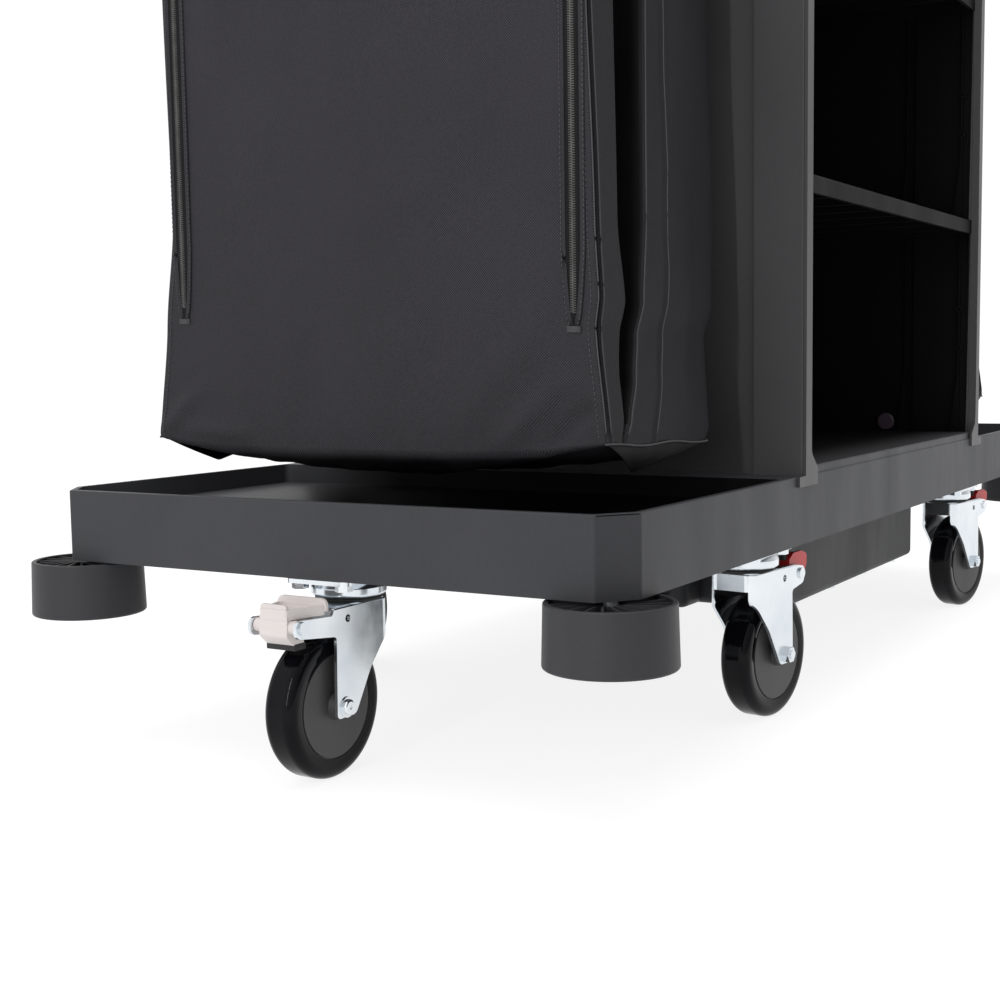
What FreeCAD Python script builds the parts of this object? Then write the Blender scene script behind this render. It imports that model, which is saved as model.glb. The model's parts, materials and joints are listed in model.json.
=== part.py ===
import FreeCAD, Part
import math
import os

# Rolling utility cart with a moulded deck, an open cabinet, a hanging bag at each end,
# six swivel casters with brakes and four corner bumper rollers.
# Millimetres. X runs along the cart, the open side of the cabinet faces -Y, Z is up.
# The origin is on the floor under the middle of the cart.

V = FreeCAD.Vector

# Deck
DECK_LENGTH = 1456.0
DECK_WIDTH = 600.0
DECK_BOTTOM = 175.0
RIM_TOP = 241.0
TRAY_FLOOR = 221.0
FLOOR_THICK = 5.0
RIM_WALL = 6.0
CORNER_X = 31.0
CORNER_Y = 24.0
TRAY_END_X = 388.0
CABINET_FLOOR = 249.0
RIB_THICK = 4.0
DECK_RIB_STEP = 145.0
DECK_RIB_LINES = (-124.0, 0.0, 124.0)
CASTER_PAD_X = 55.0
CASTER_PAD_Y = 41.0
ROLLER_BOSS = 18.0
SCREW_BOSS = 9.0
SCREW_RADIUS = 2.5
SCREW_DEPTH = 34.0
BOLT_DEPTH = 38.0

# Cabinet
WALL_OUTER = 342.0
WALL_THICK = 16.0
WALL_INNER = WALL_OUTER - WALL_THICK
PANEL_RECESS = 8.0
PILASTER = 50.0
WALL_TOP = 1180.0
BACK_Y = 284.0
BACK_THICK = 8.0
MID_SHELF_Z = 512.0
UPPER_SHELF_Z = 800.0
SHELF_THICK = 18.0
TOP_RIM = 1250.0
TOP_OVERHANG = 10.0
WALL_RIB_PROUD = 5.0
WALL_RIB_HALF = 1.25
FRONT_RIBS = (-286.5, -215.0)
REAR_RIBS = (215.0, 262.0)
RING_LINES = (-281.0, 256.0)
RING_RISE = (112.0, 164.0)
RIB_GAP = 0.5

# Tub under the deck
TUB_BOTTOM = 91.0
TUB_HALF_X = 240.0
TUB_HALF_Y = 245.0
TUB_NECK_X = 280.0
TUB_NECK_Y = 150.0
TUB_WALL = 5.0

# Casters
WHEEL_RADIUS = 63.5
WHEEL_HALF_WIDTH = 15.5
HUB_RADIUS = 46.0
TRAIL = 40.0
AXLE_RADIUS = 6.0
LEG_INSIDE = 22.5
LEG_THICK = 3.0
LEG_OUTSIDE = LEG_INSIDE + LEG_THICK
CROWN_Z = 148.0
CROWN_TOP = CROWN_Z + LEG_THICK
KINGPIN_RADIUS = 8.0
PLATE_TOP = 172.0
PLATE_THICK = 4.0
PLATE_X = 95.0
PLATE_Y = 67.0
BOLT_SPACING_X = 75.0
BOLT_SPACING_Y = 47.0
PLATE_BOLT_RADIUS = 4.0
PEDAL_PIVOT_Z = 140.5
PEDAL_PIN_RADIUS = 3.5
END_PIVOT = 96.5
END_ARM = ((105.0, 132.5, 7), (105.0, 147.5, 7), (57.0, 144.5, 1))
SIDE_PIVOT = 69.5
SIDE_ARM = ((77.0, 131.0, 7), (77.0, 147.0, 5))
RUNNING_GAP = 0.05

# Each caster: swivel axis x, y, and the direction in degrees in which it trails
CASTERS = (
    ("end_left", -665.4, 0.0, 180.0),
    ("front_left", -364.7, -249.0, -7.0),
    ("front_right", 364.7, -255.0, -10.0),
    ("rear_left", -364.7, 252.0, 6.0),
    ("rear_right", 364.7, 252.0, -4.0),
    ("end_right", 665.4, 0.0, 0.0),
)

# Bumper rollers
ROLLER_X = 706.5
ROLLER_Y = 278.3
ROLLER_RADIUS = 53.0
ROLLER_TOP_RADIUS = 51.5
ROLLER_BOTTOM = 122.6
ROLLER_TOP = 173.5
ROLLER_PIN_RADIUS = 7.0

# Bags: height, distance of front and rear faces from the middle of the cart, half width
BAG_SECTIONS = (
    (256.0, 628.0, 452.0, 222.0),
    (284.0, 645.0, 433.0, 240.0),
    (480.0, 645.0, 394.0, 226.0),
    (1000.0, 645.0, 385.0, 224.0),
)
BAG_FRONT = 645.0
BAG_SKIN = 3.0
BAG_CORNER = 12.0
BAG_REAR_TOP = 955.0
ZIP_TOP = 940.0
ZIP_LINES = ((201.0, 400.0), (-214.0, 383.0))
ZIP_WIDTH = 15.0
ZIP_THICK = 1.2
SLIDER_Z = 925.0

# Tube work at the ends
FRAME_Z = 985.0
FRAME_Y = 209.0
FRAME_REACH = 629.0
FRAME_RADIUS = 10.0
HANDLE_Z = 1125.0
HANDLE_Y = 212.0
HANDLE_REACH = 452.0
HANDLE_RADIUS = 14.0
TUBE_WALL = 2.0
BEND_RADIUS = 45.0
GRIP_HALF = 140.0
GRIP_THICK = 4.0


def box(x0, y0, z0, x1, y1, z1):
    return Part.makeBox(x1 - x0, y1 - y0, z1 - z0, V(x0, y0, z0))


def cylinder(radius, start, end):
    axis = end - start
    return Part.makeCylinder(radius, axis.Length, start, axis)


def upright(radius, x, y, z0, z1):
    return cylinder(radius, V(x, y, z0), V(x, y, z1))


def fuse(shapes):
    body = shapes[0].multiFuse(shapes[1:]) if len(shapes) > 1 else shapes[0]
    return body.removeSplitter()


def moved(shape, x=0.0, y=0.0, z=0.0, turn=0.0):
    """A copy turned about the vertical axis through the origin, then shifted."""
    placement = FreeCAD.Placement(V(x, y, z), FreeCAD.Rotation(V(0, 0, 1), turn))
    return shape.transformed(placement.toMatrix())


def corners_of():
    """Sign pairs of the four corners."""
    return [(sx, sy) for sx in (-1, 1) for sy in (-1, 1)]


def rounded_wire(corners, place):
    """Closed wire of straight runs; each corner is (a, b) or (a, b, radius)."""
    points = [V(c[0], c[1], 0) for c in corners]
    radii = [c[2] if len(c) > 2 else 0.0 for c in corners]
    count = len(points)
    joints = []
    for i in range(count):
        here = points[i]
        if radii[i] == 0.0:
            joints.append((here, None, here))
            continue
        back = (points[i - 1] - here).normalize()
        ahead = (points[(i + 1) % count] - here).normalize()
        half = back.getAngle(ahead) / 2
        reach = radii[i] / math.tan(half)
        middle = (back + ahead).normalize()
        crest = here + middle * (radii[i] / math.sin(half) - radii[i])
        joints.append((here + back * reach, crest, here + ahead * reach))
    edges = []
    for i in range(count):
        start, crest, end = joints[i]
        if crest is not None:
            edges.append(Part.Arc(place(start), place(crest), place(end)).toShape())
        following = joints[(i + 1) % count][0]
        if (following - end).Length > 1e-6:
            edges.append(Part.LineSegment(place(end), place(following)).toShape())
    return Part.Wire(edges)


def plan_prism(corners, z0, z1):
    wire = rounded_wire(corners, lambda p: V(p.x, p.y, z0))
    return Part.Face(wire).extrude(V(0, 0, z1 - z0))


def side_prism(corners, y0, y1):
    """Outline in X and Z, given thickness along Y."""
    wire = rounded_wire(corners, lambda p: V(p.x, y0, p.y))
    return Part.Face(wire).extrude(V(0, y1 - y0, 0))


def end_prism(corners, x0, x1):
    """Outline in Y and Z, given thickness along X."""
    wire = rounded_wire(corners, lambda p: V(x0, p.x, p.y))
    return Part.Face(wire).extrude(V(x1 - x0, 0, 0))


def turned(corners, base, axis):
    """Solid of revolution; corners are (radius, distance along the axis)."""
    if axis == "z":
        wire = rounded_wire(corners, lambda p: V(base.x + p.x, base.y, base.z + p.y))
        return Part.Face(wire).revolve(base, V(0, 0, 1), 360)
    wire = rounded_wire(corners, lambda p: V(base.x + p.x, base.y + p.y, base.z))
    return Part.Face(wire).revolve(base, V(0, 1, 0), 360)


def hexagon(across, x, y, z0, z1):
    radius = across / math.sqrt(3)
    points = [(x + radius * math.cos(math.radians(60 * i)), y + radius * math.sin(math.radians(60 * i)))
              for i in range(6)]
    return plan_prism(points, z0, z1)


def hexagon_across_y(across, x, z, y0, y1):
    radius = across / math.sqrt(3)
    points = [(x + radius * math.cos(math.radians(60 * i)), z + radius * math.sin(math.radians(60 * i)))
              for i in range(6)]
    return side_prism(points, y0, y1)


def rectangle(x0, y0, x1, y1, radius=0.0):
    return [(x0, y0, radius), (x1, y0, radius), (x1, y1, radius), (x0, y1, radius)]


def octagon(inset=0.0, length=DECK_LENGTH, width=DECK_WIDTH):
    """Plan of the deck: a rectangle with its four corners cut off."""
    x = length / 2 - inset
    y = width / 2 - inset
    cut_x = CORNER_X - 0.5 * inset
    cut_y = CORNER_Y - 0.5 * inset
    return [(-x + cut_x, -y), (x - cut_x, -y), (x, -y + cut_y), (x, y - cut_y),
            (x - cut_x, y), (-x + cut_x, y), (-x, y - cut_y), (-x, -y + cut_y)]


def soften(shape, radius, chosen):
    """Round the edges for which chosen(edge) is true."""
    return shape.makeFillet(radius, [edge for edge in shape.Edges if chosen(edge)])


def all_at_height(edge, height):
    return all(abs(vertex.Z - height) < 1e-6 for vertex in edge.Vertexes)


def export(name, solids):
    parts = solids if isinstance(solids, list) else [solids]
    flat = [solid for part in parts for solid in part.Solids]
    shape = flat[0] if len(flat) == 1 else Part.makeCompound(flat)
    shape.exportStep("parts/" + name + ".step")
    print(name, len(flat), "solids", round(shape.Volume / 1000), "cm3", "valid" if shape.isValid() else "BAD")


# ---------------------------------------------------------------- deck

def plate_bolt_places():
    places = []
    for name, x, y, trail in CASTERS:
        for sx, sy in corners_of():
            places.append((x + sx * BOLT_SPACING_X / 2, y + sy * BOLT_SPACING_Y / 2))
    return places


def tub_screw_places():
    return [(sx * 60.0 * step, sy * (TUB_HALF_Y - 12.0)) for step in (1, 3) for sx, sy in corners_of()]


def deck_underside():
    """The space under the deck floor, cut up by the ribs and the caster pads."""
    hollow = plan_prism(octagon(RIM_WALL), DECK_BOTTOM - 1, TRAY_FLOOR - FLOOR_THICK)
    solids = []
    half = RIB_THICK / 2
    for i in range(-4, 5):
        x = i * DECK_RIB_STEP
        solids.append(box(x - half, -DECK_WIDTH / 2, DECK_BOTTOM, x + half, DECK_WIDTH / 2, RIM_TOP))
    for y in DECK_RIB_LINES:
        solids.append(box(-DECK_LENGTH / 2, y - half, DECK_BOTTOM, DECK_LENGTH / 2, y + half, RIM_TOP))
    for name, x, y, trail in CASTERS:
        pad = rectangle(x - CASTER_PAD_X, y - CASTER_PAD_Y, x + CASTER_PAD_X, y + CASTER_PAD_Y, 8)
        solids.append(plan_prism(pad, DECK_BOTTOM, TRAY_FLOOR))
    for sx, sy in corners_of():
        solids.append(upright(ROLLER_BOSS, sx * ROLLER_X, sy * ROLLER_Y, DECK_BOTTOM, TRAY_FLOOR))
    for x, y in tub_screw_places():
        solids.append(upright(SCREW_BOSS, x, y, DECK_BOTTOM, RIM_TOP))
    under_cabinet = box(-WALL_INNER + 6, -DECK_WIDTH / 2 + RIM_WALL, TRAY_FLOOR - FLOOR_THICK,
                        WALL_INNER - 6, DECK_WIDTH / 2 - RIM_WALL, RIM_TOP - FLOOR_THICK)
    hollow = hollow.fuse(under_cabinet)
    return hollow.cut(solids[0].multiFuse(solids[1:]))


def clear_ends(body, top, front):
    """Lower the strips of a flat top that lie under the ribs of the end walls."""
    for side in (-1, 1):
        x0 = side * (WALL_INNER - WALL_RIB_PROUD - RIB_GAP)
        x1 = side * WALL_INNER
        body = body.cut(box(min(x0, x1), front, top - 1, max(x0, x1), BACK_Y, top + 1))
    return body


def tray_recess(side):
    """Shallow tray at one end of the deck, side -1 or 1."""
    x = DECK_LENGTH / 2 - RIM_WALL
    y = DECK_WIDTH / 2 - RIM_WALL
    cut_x = CORNER_X - 3.0
    cut_y = CORNER_Y - 3.0
    outline = [(side * TRAY_END_X, -y, 6), (side * (x - cut_x), -y, 6), (side * x, -y + cut_y, 6),
               (side * x, y - cut_y, 6), (side * (x - cut_x), y, 6), (side * TRAY_END_X, y, 6)]
    return plan_prism(outline, TRAY_FLOOR, RIM_TOP + 1)


def base_deck():
    body = plan_prism(octagon(), DECK_BOTTOM, RIM_TOP)
    body = soften(body, 4.0, lambda e: abs(e.Vertexes[0].Z - e.Vertexes[1].Z) > 1)
    body = soften(body, 1.5, lambda e: all_at_height(e, RIM_TOP))
    body = body.cut(tray_recess(-1)).cut(tray_recess(1))
    ledge = box(-WALL_INNER, -DECK_WIDTH / 2 + 1.5, RIM_TOP - 1, WALL_INNER, BACK_Y, CABINET_FLOOR)
    ledge = soften(ledge, 2.0, lambda e: all_at_height(e, CABINET_FLOOR) and e.Vertexes[0].Y < 0
                   and e.Vertexes[1].Y < 0)
    body = body.fuse(ledge)
    body = clear_ends(body, CABINET_FLOOR, -DECK_WIDTH / 2)
    body = body.cut(deck_underside())
    corner_pads = [upright(ROLLER_BOSS, sx * ROLLER_X, sy * ROLLER_Y, TRAY_FLOOR - 1, RIM_TOP - 4)
                   for sx, sy in corners_of()]
    outline = plan_prism(octagon(2.0), DECK_BOTTOM, RIM_TOP)
    body = body.multiFuse([pad.common(outline) for pad in corner_pads])
    holes = [upright(PLATE_BOLT_RADIUS, x, y, DECK_BOTTOM - 1, DECK_BOTTOM + BOLT_DEPTH)
             for x, y in plate_bolt_places()]
    holes += [upright(ROLLER_PIN_RADIUS, sx * ROLLER_X, sy * ROLLER_Y, DECK_BOTTOM - 1, TRAY_FLOOR + 4)
              for sx, sy in corners_of()]
    holes += [upright(SCREW_RADIUS, x, y, DECK_BOTTOM - 1, DECK_BOTTOM + SCREW_DEPTH)
              for x, y in tub_screw_places()]
    return body.cut(holes[0].multiFuse(holes[1:])).removeSplitter()


def tub_shape(inset, z0, z1):
    wide = plan_prism(rectangle(-TUB_HALF_X + inset, -TUB_HALF_Y + inset, TUB_HALF_X - inset,
                                TUB_HALF_Y - inset, 14), z0, z1)
    neck = plan_prism(rectangle(-TUB_NECK_X + inset, -TUB_NECK_Y + inset, TUB_NECK_X - inset,
                                TUB_NECK_Y - inset, 10), z0, z1)
    return wide.fuse(neck).removeSplitter()


def underbody_tub():
    """Open-topped moulded tub, screwed up against the deck ribs."""
    outside = tub_shape(0.0, TUB_BOTTOM, DECK_BOTTOM)
    outside = soften(outside, 8.0, lambda e: all_at_height(e, TUB_BOTTOM))
    hollow = tub_shape(TUB_WALL, TUB_BOTTOM + TUB_WALL, DECK_BOTTOM + 1)
    tub = outside.cut(hollow)
    posts = [upright(8.0, x, y, TUB_BOTTOM + 1, DECK_BOTTOM) for x, y in tub_screw_places()]
    tub = tub.multiFuse(posts)
    panel_depth = 3.0
    for side in (-1, 1):
        x = side * TUB_NECK_X
        recess = end_prism(rectangle(-TUB_NECK_Y + 16, TUB_BOTTOM + 14, TUB_NECK_Y - 16, DECK_BOTTOM - 8, 6),
                           x - side * panel_depth, x + side)
        tub = tub.cut(recess)
    holes = [upright(SCREW_RADIUS, x, y, TUB_BOTTOM - 1, DECK_BOTTOM + 1) for x, y in tub_screw_places()]
    return tub.cut(holes[0].multiFuse(holes[1:])).removeSplitter()


def tub_screws():
    screws = []
    for x, y in tub_screw_places():
        head = upright(5.0, x, y, TUB_BOTTOM - 3, TUB_BOTTOM)
        shank = upright(SCREW_RADIUS, x, y, TUB_BOTTOM - 1, DECK_BOTTOM + SCREW_DEPTH)
        socket = hexagon(4.0, x, y, TUB_BOTTOM - 4, TUB_BOTTOM - 1.5)
        screws.append(head.fuse(shank).cut(socket).removeSplitter())
    return screws


# ---------------------------------------------------------------- cabinet

def rib_channel(y, side, z0, z1):
    """Pair of ribs on the inner face of an end wall, with a gusset that flares at its foot."""
    x0 = side * WALL_INNER
    x1 = x0 - side * WALL_RIB_PROUD
    low, high = min(x0, x1), max(x0, x1)
    out = 1 if y > 0 else -1
    inner = y - out * 6.0
    outer = y + out * 6.0
    half = WALL_RIB_HALF
    ribs = [box(low, inner - half, z0, high, inner + half, z1)]
    ribs.append(box(low, outer - half, z0, high, outer + half, z1))
    flare = [(inner - half, z0), (inner - half, z0 + 80), (inner + half, z0 + 80), (inner + half, z0)]
    foot = 10.0
    if out > 0:
        flare[0] = (inner - half - foot, z0)
    else:
        flare[3] = (inner + half + foot, z0)
    ribs.append(end_prism(flare, low, high))
    return ribs


def end_wall(side):
    """End wall of the cabinet with pilasters at its edges and ribs on its inner face."""
    inner = side * WALL_INNER
    outer = side * WALL_OUTER
    low, high = min(inner, outer), max(inner, outer)
    half = DECK_WIDTH / 2
    wall = box(low, -half, RIM_TOP, high, half, WALL_TOP)
    recess_face = outer - side * PANEL_RECESS
    recess = end_prism(rectangle(-half + PILASTER, RIM_TOP, half - PILASTER, WALL_TOP - 60),
                       recess_face, outer + side)
    wall = wall.cut(recess)
    wall = soften(wall, 2.0, lambda e: e.Length > 500 and abs(abs(e.Vertexes[0].Y) - half) < 1e-3
                  and abs(e.Vertexes[0].X - outer) < 1e-3 and abs(e.Vertexes[1].X - outer) < 1e-3
                  and abs(e.Vertexes[0].Z - e.Vertexes[1].Z) > 500)
    details = []
    for z0, z1 in cabinet_levels():
        for y in FRONT_RIBS + REAR_RIBS:
            details += rib_channel(y, side, z0, z1)
        for rise in RING_RISE:
            for y in RING_LINES:
                details.append(cylinder(5.0, V(inner, y, z0 + rise), V(inner - side * 4.0, y, z0 + rise)))
    wall = wall.multiFuse(details)
    bores = []
    for z0, z1 in cabinet_levels():
        for rise in RING_RISE:
            for y in RING_LINES:
                z = z0 + rise
                bores.append(cylinder(2.2, V(inner + side * 6, y, z), V(inner - side * 8, y, z)))
    wall = wall.cut(bores[0].multiFuse(bores[1:]))
    return wall.removeSplitter()


def cabinet_levels():
    return ((CABINET_FLOOR, MID_SHELF_Z), (MID_SHELF_Z + SHELF_THICK, UPPER_SHELF_Z),
            (UPPER_SHELF_Z + SHELF_THICK, WALL_TOP))


def edge_strips():
    """Trim on the front and back edges of the end walls, with a foot that laps over the deck."""
    strips = []
    half = DECK_WIDTH / 2
    foot_top = 262.0
    foot_bottom = 231.0
    for sx, sy in corners_of():
        outline = [(sx * (WALL_OUTER + 17), foot_bottom, 1.5), (sx * (WALL_INNER - 18), foot_bottom, 1.5),
                   (sx * (WALL_INNER - 18), CABINET_FLOOR - 2, 2), (sx * WALL_INNER, foot_top, 12),
                   (sx * WALL_INNER, WALL_TOP), (sx * WALL_OUTER, WALL_TOP),
                   (sx * WALL_OUTER, RIM_TOP, 1), (sx * (WALL_OUTER + 17), RIM_TOP, 1)]
        y0 = sy * half
        y1 = sy * (half + 3.0)
        strips.append(side_prism(outline, min(y0, y1), max(y0, y1)))
    return strips


def foot_caps():
    """Round caps over the wall screws near the cabinet floor."""
    caps = []
    for side in (-1, 1):
        for y in (-182.0, 182.0):
            base = V(side * WALL_INNER, y, CABINET_FLOOR + 13.0)
            tip = V(side * (WALL_INNER - 3.0), y, CABINET_FLOOR + 13.0)
            cap = cylinder(11.5, base, tip)
            caps.append(soften(cap, 1.5, lambda e: abs(e.BoundBox.Center.x - tip.x) < 1e-3 and e.Closed))
    return caps


def back_panel():
    panel = box(-WALL_INNER, BACK_Y, CABINET_FLOOR - 8, WALL_INNER, BACK_Y + BACK_THICK, WALL_TOP)
    ribs = []
    for i in range(-3, 4):
        x = i * 90.0
        ribs.append(box(x - 3, BACK_Y + BACK_THICK, CABINET_FLOOR, x + 3, BACK_Y + BACK_THICK + 5, WALL_TOP - 4))
    return panel.multiFuse(ribs).removeSplitter()


def shelf(z):
    """Moulded shelf with turned-down edges and ribs below; it rests on the wall ribs."""
    half = WALL_INNER
    front = -DECK_WIDTH / 2 + 6.0
    pieces = [box(-half, front, z + SHELF_THICK - 5, half, BACK_Y, z + SHELF_THICK)]
    pieces.append(box(-half, front, z, half, front + 5, z + SHELF_THICK))
    pieces.append(box(-half, BACK_Y - 5, z, half, BACK_Y, z + SHELF_THICK))
    rib_step = 80.0
    for i in range(-4, 5):
        x = i * rib_step
        pieces.append(box(x - 2, front, z, x + 2, BACK_Y, z + SHELF_THICK))
    body = soften(fuse(pieces), 3.0, lambda e: e.Length > 600 and all_at_height(e, z + SHELF_THICK)
                  and abs(e.Vertexes[0].Y - front) < 1e-3)
    return clear_ends(body, z + SHELF_THICK, front)


def top_tray():
    """Top of the cabinet: a tray with three compartments and a rolled rim."""
    half_x = WALL_OUTER + TOP_OVERHANG
    half_y = DECK_WIDTH / 2 + 4.0
    floor = 6.0
    wall = 6.0
    outside = plan_prism(rectangle(-half_x, -half_y, half_x, half_y, 26), WALL_TOP, TOP_RIM)
    outside = soften(outside, 5.0, lambda e: all_at_height(e, WALL_TOP))
    inner_x = half_x - wall
    inner_y = half_y - wall
    hollow = plan_prism(rectangle(-inner_x, -inner_y, inner_x, inner_y, 20), WALL_TOP + floor, TOP_RIM + 1)
    body = outside.cut(hollow)
    dividers = [box(x - 2.5, -inner_y - 1, WALL_TOP + 1, x + 2.5, inner_y + 1, TOP_RIM - 14)
                for x in (-inner_x / 3, inner_x / 3)]
    body = body.multiFuse(dividers)
    rim = plan_prism(rectangle(-half_x - 5, -half_y - 5, half_x + 5, half_y + 5, 30), TOP_RIM - 9, TOP_RIM)
    rim = soften(rim, 3.0, lambda e: all_at_height(e, TOP_RIM) or all_at_height(e, TOP_RIM - 9))
    rim = rim.cut(plan_prism(rectangle(-inner_x, -inner_y, inner_x, inner_y, 20), TOP_RIM - 20, TOP_RIM + 1))
    return body.fuse(rim).removeSplitter()


# ---------------------------------------------------------------- end tubes

def bent_tube(root, reach, half_y, z, radius, side):
    """U-shaped tube that stands out from an end wall whose face is at the given root."""
    x0 = side * root
    x1 = side * reach
    knee = x1 - side * BEND_RADIUS
    sag = BEND_RADIUS * (1 - math.sqrt(0.5))
    path = [Part.LineSegment(V(x0, -half_y, z), V(knee, -half_y, z)).toShape()]
    path.append(Part.Arc(V(knee, -half_y, z),
                         V(x1 - side * sag, -half_y + sag, z),
                         V(x1, -half_y + BEND_RADIUS, z)).toShape())
    path.append(Part.LineSegment(V(x1, -half_y + BEND_RADIUS, z), V(x1, half_y - BEND_RADIUS, z)).toShape())
    path.append(Part.Arc(V(x1, half_y - BEND_RADIUS, z),
                         V(x1 - side * sag, half_y - sag, z),
                         V(knee, half_y, z)).toShape())
    path.append(Part.LineSegment(V(knee, half_y, z), V(x0, half_y, z)).toShape())
    route = Part.Wire(path)
    ring = Part.Wire([Part.makeCircle(radius, V(x0, -half_y, z), V(1, 0, 0))])
    bore = Part.Wire([Part.makeCircle(radius - TUBE_WALL, V(x0, -half_y, z), V(1, 0, 0))])
    outer = route.makePipeShell([ring], True, False)
    inner = route.makePipeShell([bore], True, False)
    return outer.cut(inner)


def tube_flange(half_y, z, radius, side, face):
    inner = V(side * face, half_y, z)
    outer = V(side * (face + 6.0), half_y, z)
    collar = V(side * (face + 16.0), half_y, z)
    disc = cylinder(radius + 8.0, inner, outer)
    sleeve = cylinder(radius + 3.0, inner, collar)
    body = disc.fuse(sleeve)
    return body.cut(cylinder(radius, inner - V(side, 0, 0), collar + V(side, 0, 0))).removeSplitter()


def tube_sockets():
    sockets = []
    for sx, sy in corners_of():
        sockets.append(tube_flange(sy * FRAME_Y, FRAME_Z, FRAME_RADIUS, sx, WALL_OUTER - PANEL_RECESS))
        sockets.append(tube_flange(sy * HANDLE_Y, HANDLE_Z, HANDLE_RADIUS, sx, WALL_OUTER))
    return sockets


def handle_grip(side):
    start = V(side * HANDLE_REACH, -GRIP_HALF, HANDLE_Z)
    end = V(side * HANDLE_REACH, GRIP_HALF, HANDLE_Z)
    grip = cylinder(HANDLE_RADIUS + GRIP_THICK, start, end)
    grip = soften(grip, 2.5, lambda e: e.Closed)
    return grip.cut(cylinder(HANDLE_RADIUS, start - V(0, 1, 0), end + V(0, 1, 0)))


# ---------------------------------------------------------------- bags

def bag_loft(inset, z_shift, z_top):
    wires = []
    for z, front, rear, half in BAG_SECTIONS:
        corners = rectangle(-front + inset, -half + inset, -rear - inset, half - inset, BAG_CORNER)
        level = z + z_shift if z < BAG_SECTIONS[-1][0] else z_top
        wires.append(rounded_wire(corners, lambda p, level=level: V(p.x, p.y, level)))
    return Part.makeLoft(wires, True, True)


def bag():
    """Open-topped hanging bag at the left end; its rear panel ends below the frame tubes."""
    top = BAG_SECTIONS[-1][0]
    shell = bag_loft(0.0, 0.0, top).cut(bag_loft(BAG_SKIN, BAG_SKIN, top + 1))
    return shell.cut(box(-405, -250, BAG_REAR_TOP, -380, 250, top + 1)).removeSplitter()


def zip_tapes():
    """Zipper tape and its row of teeth, one for each line on the front of the left bag."""
    strips = []
    for y, bottom in ZIP_LINES:
        tape = box(-BAG_FRONT - ZIP_THICK, y - ZIP_WIDTH / 2, bottom, -BAG_FRONT, y + ZIP_WIDTH / 2, ZIP_TOP)
        teeth = box(-BAG_FRONT - 2.4, y - 3.0, bottom + 4, -BAG_FRONT - ZIP_THICK, y + 3.0, ZIP_TOP - 4)
        strips.append(tape.fuse(teeth).removeSplitter())
    return strips


def zip_slider(y):
    """Zipper slider with a hanging pull tab, on the left bag."""
    face = -BAG_FRONT - 2.4 - 0.3
    body = side_prism([(face - 4.0, SLIDER_Z - 7, 1.5), (face, SLIDER_Z - 7), (face, SLIDER_Z + 7),
                       (face - 4.0, SLIDER_Z + 7, 1.5)], y - 5.5, y + 5.5)
    pull = box(face - 5.5, y - 3.5, SLIDER_Z - 30, face - 3.5, y + 3.5, SLIDER_Z + 3)
    eye = cylinder(1.6, V(face - 7, y, SLIDER_Z - 25), V(face - 2, y, SLIDER_Z - 25))
    return body.fuse(pull).cut(eye).removeSplitter()


# ---------------------------------------------------------------- casters
# A caster is drawn with its swivel axis on the origin and its wheel trailing along +X.

def top_plate():
    plate = plan_prism(rectangle(-PLATE_X / 2, -PLATE_Y / 2, PLATE_X / 2, PLATE_Y / 2, 8),
                       PLATE_TOP - PLATE_THICK, PLATE_TOP)
    race = turned([(KINGPIN_RADIUS, 153.0), (29.0, 153.0, 2), (33.5, 156.0, 2), (33.5, 162.0, 2),
                   (31.0, PLATE_TOP - PLATE_THICK), (KINGPIN_RADIUS, PLATE_TOP - PLATE_THICK)], V(0, 0, 0), "z")
    plate = plate.fuse(race)
    holes = [upright(PLATE_BOLT_RADIUS, sx * BOLT_SPACING_X / 2, sy * BOLT_SPACING_Y / 2, 150, 180)
             for sx, sy in corners_of()]
    holes.append(upright(KINGPIN_RADIUS, 0, 0, 150, 180))
    return plate.cut(holes[0].multiFuse(holes[1:])).removeSplitter()


def gasket():
    pad = plan_prism(rectangle(-PLATE_X / 2 - 1, -PLATE_Y / 2 - 1, PLATE_X / 2 + 1, PLATE_Y / 2 + 1, 9),
                     PLATE_TOP, DECK_BOTTOM)
    holes = [upright(PLATE_BOLT_RADIUS, sx * BOLT_SPACING_X / 2, sy * BOLT_SPACING_Y / 2, 150, 180)
             for sx, sy in corners_of()]
    return pad.cut(holes[0].multiFuse(holes[1:]))


def plate_bolts():
    bolts = []
    for sx, sy in corners_of():
        x = sx * BOLT_SPACING_X / 2
        y = sy * BOLT_SPACING_Y / 2
        under = PLATE_TOP - PLATE_THICK
        head = hexagon(13.0, x, y, under - 5.5, under)
        bolts.append(head.fuse(upright(PLATE_BOLT_RADIUS, x, y, under - 1, DECK_BOTTOM + BOLT_DEPTH)).removeSplitter())
    return bolts


def kingpin():
    nut = hexagon(22.0, 0, 0, CROWN_Z - 9.5, CROWN_Z - 0.4)
    return nut.fuse(upright(KINGPIN_RADIUS, 0, 0, CROWN_Z - 12, PLATE_TOP)).removeSplitter()


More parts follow.
